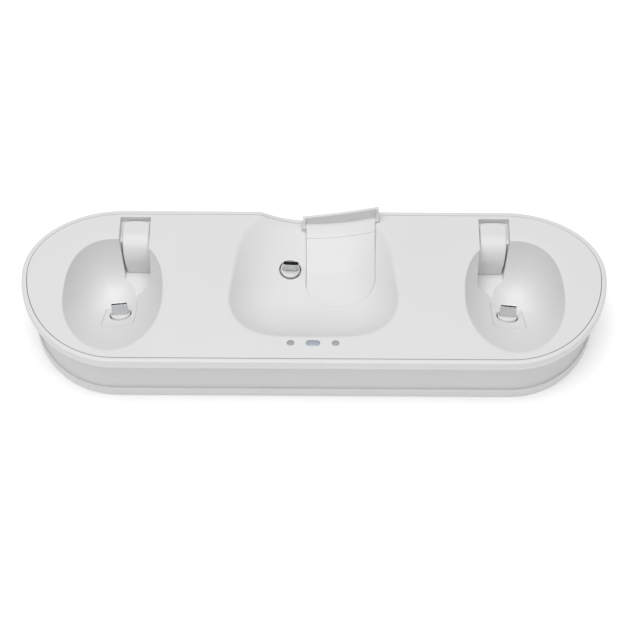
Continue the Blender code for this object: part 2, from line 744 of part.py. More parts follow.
def build_plug(name, frame):
    pivot = bpy.data.objects.new(name + "_pivot", None)
    bpy.context.scene.collection.objects.link(pivot)
    pivot.matrix_world = frame @ Matrix.Translation((0, 0, -PIN_DOWN))

    edge = 0.4 * MM
    profile = [(COLLAR_R - edge, -COLLAR_H), (COLLAR_R, edge - COLLAR_H), (COLLAR_R, -edge),
               (COLLAR_R - edge, 0)]
    carrier = add_plug_piece(name + "_plug_carrier", lathe(profile, 24), WHITE_FINE, pivot, smooth=True)
    block = box((0, 0, PIN_DOWN - STEM_DOWN), (STEM_W, STEM_T, STEM_DOWN - COLLAR_H / 2))
    stem = make_cutter(name + "_stem", *block)
    stem.parent = pivot
    boolean(carrier, stem, "UNION")
    socket = loft([slot_ring(GAP / 3, -SLOT_DOWN), slot_ring(GAP / 3, 1 * MM)])
    cut_with(carrier, name + "_socket", socket, pivot)
    bore = PIN_R + PIN_RUN
    cut_with(carrier, name + "_bore", across_rod(bore, STEM_W, -PIN_DOWN), pivot)

    base = -SLOT_DOWN + GAP
    section = ((0, base), (0, PLUG_OUT), (-PLUG_SKIN, PLUG_OUT), (-PLUG_SKIN, base))
    rings = [slot_ring(grow, z) for grow, z in section]
    add_plug_piece(name + "_plug_shell", loft(rings, ring_closed=True), STEEL, pivot, smooth=True)
    inset = -PLUG_SKIN - GAP / 3
    contacts = loft([slot_ring(inset, base), slot_ring(inset, PLUG_OUT * CONTACT_SHARE)])
    add_plug_piece(name + "_contact_block", contacts, BLACK, pivot)

    inner = STEM_W / 2 + GAP
    outer = inner + CHEEK
    add_plug_piece(name + "_hinge_pin", across_rod(PIN_R, outer, -PIN_DOWN), STEEL, pivot, smooth=True)
    floor = -STEM_DOWN - GAP - SPRING_T - GAP * 1.2
    low = floor - BRACKET_BASE
    outline = [(-outer, low), (outer, low), (outer, -BRACKET_TOP), (inner, -BRACKET_TOP), (inner, floor),
               (-inner, floor), (-inner, -BRACKET_TOP), (-outer, -BRACKET_TOP)]
    half = BRACKET_T / 2
    rings = [[Vector((x, y, z)) for x, z in outline] for y in (-half, half)]
    bracket = add_plug_piece(name + "_plug_bracket", loft(rings), ZINC, pivot)
    cut_with(bracket, name + "_cheek_bore", across_rod(bore, outer + 1 * MM, -PIN_DOWN), pivot)

    reach = STEM_T / 2 + SPRING_FREE
    skin = reach + SPRING_T
    low = floor + GAP * 0.8
    tip = -COLLAR_H - 1.4 * MM
    outline = [(-skin, low), (skin, low), (skin, tip), (reach, tip), (reach, low + SPRING_T),
               (-reach, low + SPRING_T), (-reach, tip), (-skin, tip)]
    half = SPRING_W / 2
    rings = [[Vector((x, y, z)) for y, z in outline] for x in (-half, half)]
    add_plug_piece(name + "_return_spring", loft(rings), STEEL, pivot)

    if name != "middle":
        cradle = make_object(name + "_cradle", *cradle_block(0, -CRADLE_T, 0), WHITE_FINE)
        cradle.matrix_world = frame
        hole = lathe([(COLLAR_R + RING_GAP, -8 * MM), (COLLAR_R + RING_GAP, 8 * MM)], 24)
        cutter = make_cutter(name + "_collar_hole", *hole)
        cutter.matrix_world = frame
        boolean(cradle, cutter)


# ---------------------------------------------------------------- electrics, ballast, fasteners
def build_lights():
    names = {-1: "left_light", 0: "middle_light", 1: "right_light"}
    seat = TOP_Z - PLATE - GAP
    for place, name in names.items():
        stem = light(place, 0, seat - LIGHT_LIP, TOP_Z - 0.1 * MM)
        lens = make_object(name, *stem, ((0.55, 0.60, 0.68), 0.25), smooth=True)
        flange = make_cutter(name + "_flange", *light(place, LIGHT_LIP, seat - LIGHT_LIP - 0.4 * MM, seat))
        boolean(lens, flange, "UNION")
    w, d, t = LIGHT_BOARD
    z = seat - LIGHT_LIP - 0.4 * MM - GAP - t
    make_object("light_board", *box((0, LIGHT_Y, z), (w, d, t)), BOARD_GREEN)


def build_electrics():
    make_object("main_board", *box((0, MAIN_BOARD_Y, MAIN_BOARD_Z), MAIN_BOARD), BOARD_GREEN)
    half = (INLET_W - INLET_T) / 2
    radius = INLET_T / 2
    mouth = DEPTH / 2 - WAIST_IN + 0.2 * MM
    rings = []
    inner = radius - PLUG_SKIN
    end = mouth - INLET_LONG
    for r, y in ((radius, end), (radius, mouth), (inner, mouth), (inner, end)):
        rings.append([Vector((x, y, z + INLET_Z)) for x, z in stadium(half, r)])
    make_object("inlet_shell", *loft(rings, ring_closed=True), STEEL, smooth=True)
    w, d, t = BLADE
    make_object("inlet_blade", *box((0, end + d / 2, INLET_Z - t / 2), BLADE), BLACK)
    w, d, t = INLET_BOARD
    board = box((0, end - 1 * MM, INLET_Z - radius - GAP - t), INLET_BOARD)
    make_object("inlet_board", *board, BOARD_GREEN)
    w, d, t = BALLAST
    x, y = BALLAST_AT
    for name, side in (("left_ballast", -1), ("right_ballast", 1)):
        make_object(name, *box((side * x, y, TRAY_Z + TRAY_FLOOR + GAP), (w, d, t)), ZINC)


def smooth_route(points, per_leg=4):
    """Catmull-Rom curve through the route's points."""
    run = [points[0]] + points + [points[-1]]
    out = []
    for i in range(1, len(run) - 2):
        a, b, c, d = (Vector(p) for p in run[i - 1:i + 3])
        for k in range(per_leg):
            t = k / per_leg
            out.append(0.5 * (2 * b + (c - a) * t + (2 * a - 5 * b + 4 * c - d) * t ** 2
                              + (3 * b - a - 3 * c + d) * t ** 3))
    out.append(Vector(points[-1]))
    return out


def build_cables(frames):
    for name, side in (("left", -1), ("right", 1)):
        frame = frames[name]
        reach = STEM_W / 2 + GAP + CHEEK + GAP * 1.5
        end = frame @ Vector((-side * reach, 0, -PIN_DOWN - 1 * MM))
        start_x = MAIN_BOARD[0] / 2 + 0.6 * MM
        start_z = MAIN_BOARD_Z + MAIN_BOARD[2] / 2
        route = [(start_x, MAIN_BOARD_Y, start_z), (start_x + 5 * MM, MAIN_BOARD_Y, start_z + 0.5 * MM),
                 (62 * MM, 5 * MM, 8.6 * MM), (78 * MM, end.y + 3 * MM, end.z + 0.6 * MM),
                 (abs(end.x) - 4 * MM, end.y, end.z), (abs(end.x), end.y, end.z)]
        points = smooth_route(route)
        curve = bpy.data.curves.new(name + "_cable", "CURVE")
        curve.dimensions = "3D"
        curve.bevel_depth = CABLE_R
        curve.bevel_resolution = 2
        curve.use_fill_caps = True
        spline = curve.splines.new("POLY")
        spline.points.add(len(points) - 1)
        for point, place in zip(spline.points, points):
            point.co = (side * place.x, place.y, place.z, 1)
        curve.materials.append(make_material(name + "_cable", *RUBBER))
        bpy.context.scene.collection.objects.link(bpy.data.objects.new(name + "_cable", curve))


def build_fasteners():
    low = TRAY_Z + HEAD_DEEP
    head = low + HEAD_H
    profile = [(HEAD_R * 0.8, low), (HEAD_R, low + 0.4 * MM), (HEAD_R, head), (SCREW_R, head),
               (SCREW_R, low + SCREW_LENGTH), (SCREW_R * 0.4, low + SCREW_LENGTH + 1 * MM)]
    for i, (x, y) in enumerate(screw_places()):
        make_object(f"screw_{i + 1}", *moved(lathe(profile, 12), x, y), STEEL, smooth=True)
    edge = 0.3 * MM
    top = TRAY_Z + FOOT_INTO - GAP
    profile = [(FOOT_R - edge, 0), (FOOT_R, edge), (FOOT_R, top)]
    for i, (x, y) in enumerate(foot_places()):
        make_object(f"foot_{i + 1}", *moved(lathe(profile, 20), x, y), RUBBER, smooth=True)


def main():
    clear_scene()
    build_top_shell()
    build_upper_body()
    build_bottom_tray()
    build_strap_pieces()
    build_chutes()
    frames = plug_frames()
    for name, frame in frames.items():
        build_plug(name, frame)
    build_lights()
    build_electrics()
    build_cables(frames)
    build_fasteners()


main()
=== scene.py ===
import bpy
import bmesh
import json
import numpy as np
from math import pi, radians
from mathutils import Matrix, Vector


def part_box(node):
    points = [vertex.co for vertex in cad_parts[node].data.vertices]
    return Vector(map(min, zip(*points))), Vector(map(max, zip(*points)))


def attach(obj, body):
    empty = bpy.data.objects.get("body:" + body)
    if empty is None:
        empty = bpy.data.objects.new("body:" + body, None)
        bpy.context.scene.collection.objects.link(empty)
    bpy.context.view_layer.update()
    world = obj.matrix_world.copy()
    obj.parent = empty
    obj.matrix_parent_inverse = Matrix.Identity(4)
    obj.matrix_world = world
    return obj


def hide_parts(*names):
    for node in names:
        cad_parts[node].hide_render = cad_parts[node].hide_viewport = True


# A charging dock for a headset and two hand controllers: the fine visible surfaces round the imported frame.
# Metres, +Z up, the user sits on the -Y side. Sizes below repeat the design's own, in millimetres times mm.
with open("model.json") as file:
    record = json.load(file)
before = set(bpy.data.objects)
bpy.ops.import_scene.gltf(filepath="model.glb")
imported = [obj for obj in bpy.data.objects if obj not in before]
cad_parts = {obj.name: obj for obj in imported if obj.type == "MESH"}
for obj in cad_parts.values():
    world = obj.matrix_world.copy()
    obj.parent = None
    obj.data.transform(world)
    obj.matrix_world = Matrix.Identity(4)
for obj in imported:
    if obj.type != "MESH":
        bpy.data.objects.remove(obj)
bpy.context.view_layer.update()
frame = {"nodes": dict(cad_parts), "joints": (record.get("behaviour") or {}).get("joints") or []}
mm = 0.001
print("frame loaded:", len(frame["nodes"]), "nodes")

dock = {
    "cornerRun": 50 * mm,       # how far the rounded ends reach in
    "widestY": 8 * mm,          # line where the dock is longest
    "seam": 2.6 * mm,           # parting line, in from the outline
    "seamGap": 0.26 * mm,
    "topZ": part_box("upper_body")[1].z,
    "half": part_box("upper_body")[1].x,
    "back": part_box("upper_body")[1].y,
    "bandZ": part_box("bottom_tray")[1].z,
    "trayZ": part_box("bottom_tray")[0].z,
}

bowl = {
    "x": 101 * mm, "y": -8 * mm,          # middle of the opening
    "half": 25 * mm, "front": 34.8 * mm, "back": 38 * mm,
    "deep": 25 * mm,
    "lowX": 2 * mm, "lowY": 14 * mm,      # lowest point from that middle
    "curve": {"front": 1.15, "back": 3.0, "outer": 2.6, "inner": 2.0},
    "edge": 0.45 * mm,                    # softness of the rim, as a depth
}

trough = {
    "half": 43.3 * mm, "widest": -12 * mm, "taper": 0.115,
    "shoulder": 20 * mm, "shoulderIn": 11 * mm,
    "deep": 14 * mm, "lip": 7 * mm,
    "middle": -2 * mm, "front": -33.4 * mm, "rear": 44 * mm,
    "square": 4.0, "squareRear": 2.2,
    "edge": 1.0 * mm,
}

channel = {
    "x": 92.5 * mm, "width": 15.6 * mm, "back": 45 * mm, "front": 8.5 * mm,
    "ledgeZ": 14 * mm, "shelfZ": 30.6 * mm, "shelfFront": 31 * mm, "lean": 0.14,
}

pocket = {
    "x": 13.5 * mm, "half": 17.7 * mm, "front": -3 * mm, "bend": 11 * mm, "split": 36 * mm,
    "deep": 3 * mm, "padLow": 1.6 * mm,
    "restLip": 2 * mm, "restBack": 46.8 * mm, "restWall": 1.8 * mm, "restPlate": 0.9 * mm,
    "cheek": 3.0 * mm,                        # how far the lip's ends turn forward
    "riseFrom": 18 * mm,
    "lipTop": (34.5 * mm, 0.163, 1.48),       # height along X: constant, slope, curvature per metre
    "lipFoot": (29.6 * mm, 0.0224, 4.89),
}

wall = 2.1 * mm


def blendEdge(depth, soft):
    # a hollow's depth with its rim rounded: nought outside, a parabola across the rim, then the depth
    near = np.clip(depth + soft, 0, 2 * soft)
    return np.where(depth > soft, depth, near ** 2 / (4 * soft))


def bowlCurve(dx, dy):
    # exponent of the wall in each direction: squares of the direction's two parts weigh the four values
    size = np.hypot(dx, dy) + 1e-12
    alongY = np.where(dy > 0, bowl["curve"]["back"], bowl["curve"]["front"])
    alongX = np.where(dx > 0, bowl["curve"]["outer"], bowl["curve"]["inner"])
    return (dy / size) ** 2 * alongY + (dx / size) ** 2 * alongX


def bowlReach(dx, dy):
    # factor that carries a direction from the lowest point out to the rim, a superellipse, found by halving
    low = np.zeros_like(dx)
    high = np.full_like(dx, 200 * mm) / (np.hypot(dx, dy) + 1e-12)
    for _ in range(44):
        mid = (low + high) / 2
        x = bowl["lowX"] + mid * dx
        y = bowl["lowY"] + mid * dy
        square = np.where(y > 0, 2.5, 2.0)
        reach = np.where(y > 0, bowl["back"], bowl["front"])
        beyond = np.abs(x / bowl["half"]) ** square + np.abs(y / reach) ** square > 1
        high = np.where(beyond, mid, high)
        low = np.where(beyond, low, mid)
    return (low + high) / 2


def bowlHeight(x, y):
    # right bowl: flat top less deep times (1 - share to the power of the wall's exponent), rim rounded
    dx = x - bowl["x"] - bowl["lowX"]
    dy = y - bowl["y"] - bowl["lowY"]
    share = 1 / bowlReach(dx, dy)
    depth = bowl["deep"] * (1 - share ** bowlCurve(dx, dy))
    return dock["topZ"] - blendEdge(depth, bowl["edge"])


def troughHalf(y):
    past = np.maximum(y - trough["shoulder"], 0) / (dock["back"] - trough["shoulder"])
    straight = trough["half"] - trough["taper"] * np.maximum(y - trough["widest"], 0)
    return straight - trough["shoulderIn"] * past ** 2.5


def troughDepth(x, y):
    # a superellipse across, whose power falls towards the back, times a depth that lessens towards the back
    share = np.clip((y - trough["middle"]) / (trough["rear"] - trough["middle"]), 0, 1)
    power = trough["square"] + (trough["squareRear"] - trough["square"]) * share
    across = np.abs(x / troughHalf(y)) ** power
    ahead = np.clip((trough["middle"] - y) / (trough["middle"] - trough["front"]), 0, None) ** 2.2
    deep = trough["deep"] + (trough["lip"] - trough["deep"]) * share ** 1.25
    return deep * (1 - across) - trough["deep"] * ahead


def troughHeight(x, y):
    return dock["topZ"] - blendEdge(troughDepth(x, y), trough["edge"])


def backDip(x):
    # how far the back edge sinks where the trough runs out over it
    return dock["topZ"] - troughHeight(x, np.full_like(x, dock["back"] - dock["seam"]))


def lipHeight(curve, x):
    return curve[0] + curve[1] * x + curve[2] * x * x


def strapFloor(x, y):
    # floor under the strap: the trough sunk by a little on the left, rising in an S to the foot of the lip
    leftness = np.clip((pocket["x"] + pocket["half"] - x) / (2 * pocket["half"]), 0, 1)
    ahead = troughHeight(x, y) - pocket["padLow"] * leftness
    share = np.clip((y - pocket["riseFrom"]) / (trough["rear"] - pocket["riseFrom"]), 0, 1)
    share = share * share * (3 - 2 * share)
    return ahead + (lipHeight(pocket["lipFoot"], x) - ahead) * share


def gridFaces(rows, cols, closed=True, start=0):
    # quads between neighbouring rows of a grid; closed joins the last column to the first
    r = np.arange(rows - 1)[:, None]
    c = np.arange(cols if closed else cols - 1)[None, :]
    a = start + r * cols + c
    b = start + r * cols + (c + 1) % cols
    return np.stack([a, b, b + cols, a + cols], axis=-1).reshape(-1, 4).tolist()


def makeMesh(name, points, faces, sharp=32):
    # a mesh object with doubles merged and faces outward, smooth but for edges sharper than the angle
    mesh = bpy.data.meshes.new(name)
    mesh.from_pydata(np.asarray(points, float).reshape(-1, 3).tolist(), [], faces)
    bm = bmesh.new()
    bm.from_mesh(mesh)
    bmesh.ops.remove_doubles(bm, verts=bm.verts, dist=0.002 * mm)
    bmesh.ops.recalc_face_normals(bm, faces=bm.faces)
    bm.to_mesh(mesh)
    bm.free()
    mesh.shade_smooth()
    mesh.set_sharp_from_angle(angle=radians(sharp))
    obj = bpy.data.objects.new(name, mesh)
    bpy.context.scene.collection.objects.link(obj)
    return obj


def loftMesh(name, rings, caps=True, sharp=32):
    # skin over closed rings of equal count; caps close the ends, otherwise the last ring joins the first
    rings = np.asarray(rings, float)
    rows, cols = rings.shape[:2]
    faces = gridFaces(rows, cols)
    if caps:
        faces.append(list(range(cols)))
        faces.append(list(range((rows - 1) * cols, rows * cols)))
    else:
        last = (rows - 1) * cols
        faces += [[last + c, last + (c + 1) % cols, (c + 1) % cols, c] for c in range(cols)]
    return makeMesh(name, rings, faces, sharp)


def slabMesh(name, top, bottom, sharp=32):
    # a closed slab between two grids of the same shape, with walls round the border
    rows, cols = top.shape[:2]
    count = rows * cols
    faces = gridFaces(rows, cols, False) + gridFaces(rows, cols, False, count)
    index = np.arange(count).reshape(rows, cols)
    border = np.concatenate([index[0, :], index[1:, -1], index[-1, -2::-1], index[-2:0:-1, 0]])
    after = np.roll(border, -1)
    faces += np.stack([border, after, after + count, border + count], axis=-1).tolist()
    return makeMesh(name, np.concatenate([top.reshape(-1, 3), bottom.reshape(-1, 3)]), faces, sharp)


def turned(profile, steps=64):
    # (radius, height) points turned round Z
    profile = np.array(profile, float)
    turn = np.linspace(0, 2 * pi, steps, endpoint=False)
    ring = np.stack([np.cos(turn), np.sin(turn), np.zeros(steps)], axis=-1)
    rings = profile[:, None, :1] * ring[None]
    rings[..., 2] = profile[:, 1:]
    return rings


def slotOutline(straight, radius, steps=16):
    # half circles on both ends of a straight middle along X
    turn = np.linspace(-pi / 2, pi / 2, steps)
    right = np.stack([straight + radius * np.cos(turn), radius * np.sin(turn)], axis=-1)
    return np.concatenate([right, -right])


def raised(outline, heights):
    # the same outline at several heights
    rings = np.zeros((len(heights), len(outline), 3))
    rings[..., :2] = outline[None]
    rings[..., 2] = np.array(heights)[:, None]
    return rings


def placed(points, matrix):
    matrix = np.array(matrix)
    return points @ matrix[:3, :3].T + matrix[:3, 3]


def mirrorX(points):
    return points * np.array([-1, 1, 1])


def boolean(target, operands, operation):
    # joins or cuts with several bodies at once, keeps the result and removes the operands
    group = bpy.data.collections.new(operation)
    bpy.context.scene.collection.children.link(group)
    for operand in operands:
        group.objects.link(operand)
    mod = target.modifiers.new(operation, "BOOLEAN")
    mod.operation = operation
    mod.solver = "EXACT"
    mod.operand_type = "COLLECTION"
    mod.collection = group
    graph = bpy.context.evaluated_depsgraph_get()
    result = bpy.data.meshes.new_from_object(target.evaluated_get(graph))
    target.modifiers.clear()
    target.data = result
    for operand in operands:
        bpy.data.objects.remove(operand)
    bpy.data.collections.remove(group)
    result.shade_smooth()
    result.set_sharp_from_angle(angle=radians(32))


def hexColor(code):
    # sRGB hex to linear: straight below 0.04045, a 2.4 power above
    srgb = np.array([int(code[i:i + 2], 16) for i in (1, 3, 5)]) / 255
    linear = np.where(srgb <= 0.04045, srgb / 12.92, ((srgb + 0.055) / 1.055) ** 2.4)
    return (*[float(c) for c in linear], 1.0)


def addNode(tree, kind, settings=None, links=None):
    # adds a node, sets its properties or sockets by name, and links its sockets
    node = tree.nodes.new(kind)
    for key, value in (settings or {}).items():
        if hasattr(node, key):
            setattr(node, key, value)
        else:
            node.inputs[key].default_value = value
    for key, source in (links or {}).items():
        tree.links.new(source, node.inputs[key])
    return node


def startMaterial(name, sockets):
    mat = bpy.data.materials.new(name)
    mat.use_nodes = True
    tree = mat.node_tree
    shader = tree.nodes["Principled BSDF"]
    for key, value in sockets.items():
        shader.inputs[key].default_value = value
    coords = addNode(tree, "ShaderNodeTexCoord").outputs["Object"]
    return mat, tree, shader, coords


def mouldedPlastic(name, look):
    # injection-moulded ABS: an even off-white with a faint cloudiness, a fine spark-eroded grain that
    # scatters highlights, and slightly glossier patches where the mould has polished
    mat, tree, shader, coords = startMaterial(name, {"IOR": 1.53, "Roughness": look["rough"]})
    cloud = addNode(tree, "ShaderNodeTexNoise", {"Scale": 1 / look["cloud"], "Detail": 2.0},
                    {"Vector": coords})
    tint = addNode(tree, "ShaderNodeMix", {"data_type": "RGBA"}, {0: cloud.outputs["Fac"]})
    tint.inputs[6].default_value = hexColor(look["shade"])
    tint.inputs[7].default_value = hexColor(look["light"])
    tree.links.new(tint.outputs[2], shader.inputs["Base Color"])
    polish = addNode(tree, "ShaderNodeTexNoise", {"Scale": 1 / (9 * mm), "Detail": 3.0}, {"Vector": coords})
    rough = addNode(tree, "ShaderNodeMapRange",
                    {"To Min": look["rough"] - 0.05, "To Max": look["rough"] + 0.05},
                    {"Value": polish.outputs["Fac"]})
    tree.links.new(rough.outputs[0], shader.inputs["Roughness"])
    grain = addNode(tree, "ShaderNodeTexNoise",
                    {"Scale": 1 / look["grain"], "Detail": 1.5, "Roughness": 0.6}, {"Vector": coords})
    height = grain.outputs["Fac"]
    if look.get("smoothBelow"):
        # the hollows are polished smoother than the flat top, so the grain fades below the top's height
        split = addNode(tree, "ShaderNodeSeparateXYZ", {}, {"Vector": coords})
        fade = addNode(tree, "ShaderNodeMapRange", {"From Min": look["smoothBelow"] - 0.5 * mm,
                                                   "From Max": look["smoothBelow"], "To Min": 0.12},
                       {"Value": split.outputs["Z"]})
        times = addNode(tree, "ShaderNodeMath", {"operation": "MULTIPLY"}, {0: height, 1: fade.outputs[0]})
        height = times.outputs[0]
    rounded = addNode(tree, "ShaderNodeBevel", {"samples": 4, "Radius": look["soft"]})
    bump = addNode(tree, "ShaderNodeBump", {"Distance": look["relief"], "Strength": 1.0},
                   {"Height": height, "Normal": rounded.outputs[0]})
    tree.links.new(bump.outputs[0], shader.inputs["Normal"])
    return mat


def platedSteel(name, look):
    # sheet or wire steel under a thin plated layer: grey-white metal, long drawing lines along the strip
    mat, tree, shader, coords = startMaterial(name, {"Metallic": 1.0, "Roughness": look["rough"],
                                                     "Base Color": hexColor(look["light"])})
    stretch = addNode(tree, "ShaderNodeMapping", {"Scale": look["stretch"]}, {"Vector": coords})
    lines = addNode(tree, "ShaderNodeTexNoise", {"Scale": 1 / look["line"], "Detail": 3.0},
                    {"Vector": stretch.outputs[0]})
    rough = addNode(tree, "ShaderNodeMapRange",
                    {"To Min": look["rough"] - 0.08, "To Max": look["rough"] + 0.1},
                    {"Value": lines.outputs["Fac"]})
    tree.links.new(rough.outputs[0], shader.inputs["Roughness"])
    tint = addNode(tree, "ShaderNodeMix", {"data_type": "RGBA"}, {0: lines.outputs["Fac"]})
    tint.inputs[6].default_value = hexColor(look["shade"])
    tint.inputs[7].default_value = hexColor(look["light"])
    tree.links.new(tint.outputs[2], shader.inputs["Base Color"])
    bump = addNode(tree, "ShaderNodeBump", {"Distance": 0.004 * mm, "Strength": 1.0},
                   {"Height": lines.outputs["Fac"]})
    tree.links.new(bump.outputs[0], shader.inputs["Normal"])
    return mat


def speckledMaterial(name, look):
    # a plain moulded, rubber or laminate surface: two close tones in fine specks with a little relief
    mat, tree, shader, coords = startMaterial(name, {"IOR": look["ior"], "Roughness": look["rough"]})
    specks = addNode(tree, "ShaderNodeTexNoise", {"Scale": 1 / look["speck"], "Detail": 3.0},
                     {"Vector": coords})
    tint = addNode(tree, "ShaderNodeMix", {"data_type": "RGBA"}, {0: specks.outputs["Fac"]})
    tint.inputs[6].default_value = hexColor(look["shade"])
    tint.inputs[7].default_value = hexColor(look["light"])
    tree.links.new(tint.outputs[2], shader.inputs["Base Color"])
    rough = addNode(tree, "ShaderNodeMapRange",
                    {"To Min": look["rough"] - 0.06, "To Max": look["rough"] + 0.06},
                    {"Value": specks.outputs["Fac"]})
    tree.links.new(rough.outputs[0], shader.inputs["Roughness"])
    bump = addNode(tree, "ShaderNodeBump", {"Distance": look["relief"], "Strength": 1.0},
                   {"Height": specks.outputs["Fac"]})
    tree.links.new(bump.outputs[0], shader.inputs["Normal"])
    return mat


finishes = {
    "grainedAbs": mouldedPlastic("grainedAbs", {
        "light": "#DFDFDF", "shade": "#DBDBDB", "rough": 0.5, "cloud": 45 * mm, "grain": 0.45 * mm,
        "relief": 0.035 * mm, "soft": 0.3 * mm, "smoothBelow": dock["topZ"] - 0.05 * mm}),
    "satinAbs": mouldedPlastic("satinAbs", {
        "light": "#DFDFDF", "shade": "#DCDCDC", "rough": 0.42, "cloud": 60 * mm, "grain": 0.6 * mm,
        "relief": 0.01 * mm, "soft": 0.25 * mm}),
    "platedShell": platedSteel("platedShell", {
        "light": "#E2E3E4", "shade": "#C2C3C5", "rough": 0.24, "line": 0.5 * mm,
        "stretch": (1, 1, 0.12)}),
    "springWire": platedSteel("springWire", {
        "light": "#C4C6C8", "shade": "#A9ABAE", "rough": 0.3, "line": 0.6 * mm, "stretch": (1, 1, 12)}),
    "galvanised": platedSteel("galvanised", {
        "light": "#B9BDC0", "shade": "#94989C", "rough": 0.42, "line": 4 * mm, "stretch": (1, 1, 1)}),
    "blackNylon": speckledMaterial("blackNylon", {
        "light": "#1C1C1D", "shade": "#121213", "rough": 0.5, "ior": 1.53,
        "speck": 0.5 * mm, "relief": 0.01 * mm}),
    "mouldedRubber": speckledMaterial("mouldedRubber", {
        "light": "#2A2A2A", "shade": "#1D1D1D", "rough": 0.82, "ior": 1.52,
        "speck": 0.8 * mm, "relief": 0.03 * mm}),
    "solderMask": speckledMaterial("solderMask", {
        "light": "#1E6B3C", "shade": "#14512D", "rough": 0.35, "ior": 1.5,
        "speck": 1.5 * mm, "relief": 0.01 * mm}),
    "smokedLens": speckledMaterial("smokedLens", {
        "light": "#AAB3BE", "shade": "#9DA6B2", "rough": 0.16, "ior": 1.58,
        "speck": 0.7 * mm, "relief": 0.004 * mm}),
    "clearLens": speckledMaterial("clearLens", {
        "light": "#B4B4B4", "shade": "#9A9A9A", "rough": 0.18, "ior": 1.58,
        "speck": 0.6 * mm, "relief": 0.004 * mm}),
}
print("materials made:", len(finishes))


def addPiece(obj, finish, body, slot, *nodes):
    obj.data.materials.clear()
    obj.data.materials.append(finishes[finish])
    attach(obj, body)
    if nodes:
        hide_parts(*nodes)
    return obj


housing = {
    "arcSteps": 88,
    "straightSteps": 99,
    "rimDrop": 7.0 * mm,        # height of the rim's outer face
    "waistIn": 9.3 * mm,
    "bandIn": 5.0 * mm,
    "innerIn": 10.8 * mm,
    "trayWall": 2.2 * mm,
    "trayFloor": 1.9 * mm,
    "floorIn": 18 * mm,         # the tray's floor is flat further in than this from the band
}


def planOutline(inset, arcSteps, straightSteps):
    # straight front and back, quarter ellipses at the corners, anticlockwise from the front left
    turn = np.linspace(0, pi / 2, arcSteps, endpoint=False)
    run = dock["cornerRun"] - inset
    middle = dock["half"] - dock["cornerRun"]
    back = dock["back"] - dock["widestY"] - inset
    front = dock["back"] + dock["widestY"] - inset
    along = np.linspace(-middle, middle, straightSteps, endpoint=False)
    frontRight = np.stack([middle + run * np.sin(turn), dock["widestY"] - front * np.cos(turn)], axis=-1)
    backRight = np.stack([middle + run * np.cos(turn), dock["widestY"] + back * np.sin(turn)], axis=-1)
    backLeft = np.stack([-middle - run * np.sin(turn), dock["widestY"] + back * np.cos(turn)], axis=-1)
    frontLeft = np.stack([-middle - run * np.cos(turn), dock["widestY"] - front * np.sin(turn)], axis=-1)
    frontLine = np.stack([along, np.full(straightSteps, dock["widestY"] - front)], axis=-1)
    backLine = np.stack([-along, np.full(straightSteps, dock["widestY"] + back)], axis=-1)
    return np.concatenate([frontLine, frontRight, backRight, backLine, backLeft, frontLeft])


def roundedPath(corners, steps=7):
    # a path through (inset, z, radius) corners, each rounded by a parabola between its two sides
    path = []
    for before, here, after in zip(np.roll(corners, 1, axis=0), corners, np.roll(corners, -1, axis=0)):
        p, a, b = here[:2], before[:2], after[:2]
        cut = min(here[2], np.hypot(*(a - p)) * 0.45, np.hypot(*(b - p)) * 0.45)
        start = p + (a - p) / np.hypot(*(a - p)) * cut
        end = p + (b - p) / np.hypot(*(b - p)) * cut
        t = np.linspace(0, 1, steps)[:, None]
        path.append((1 - t) ** 2 * start + 2 * t * (1 - t) * p + t ** 2 * end)
    return np.concatenate(path)


def sweptRings(path, lowZ):
    # one ring of the plan for each (inset, z) of the path; the back sinks with the dip, less towards lowZ
    rings = []
    for inset, z in path:
        outline = planOutline(inset, housing["arcSteps"], housing["straightSteps"])
        sink = np.where(outline[:, 1] > dock["widestY"], backDip(outline[:, 0]), 0)
        share = (z - lowZ) / (dock["topZ"] - lowZ)
        rings.append(np.column_stack([outline, z - sink * share]))
    return rings


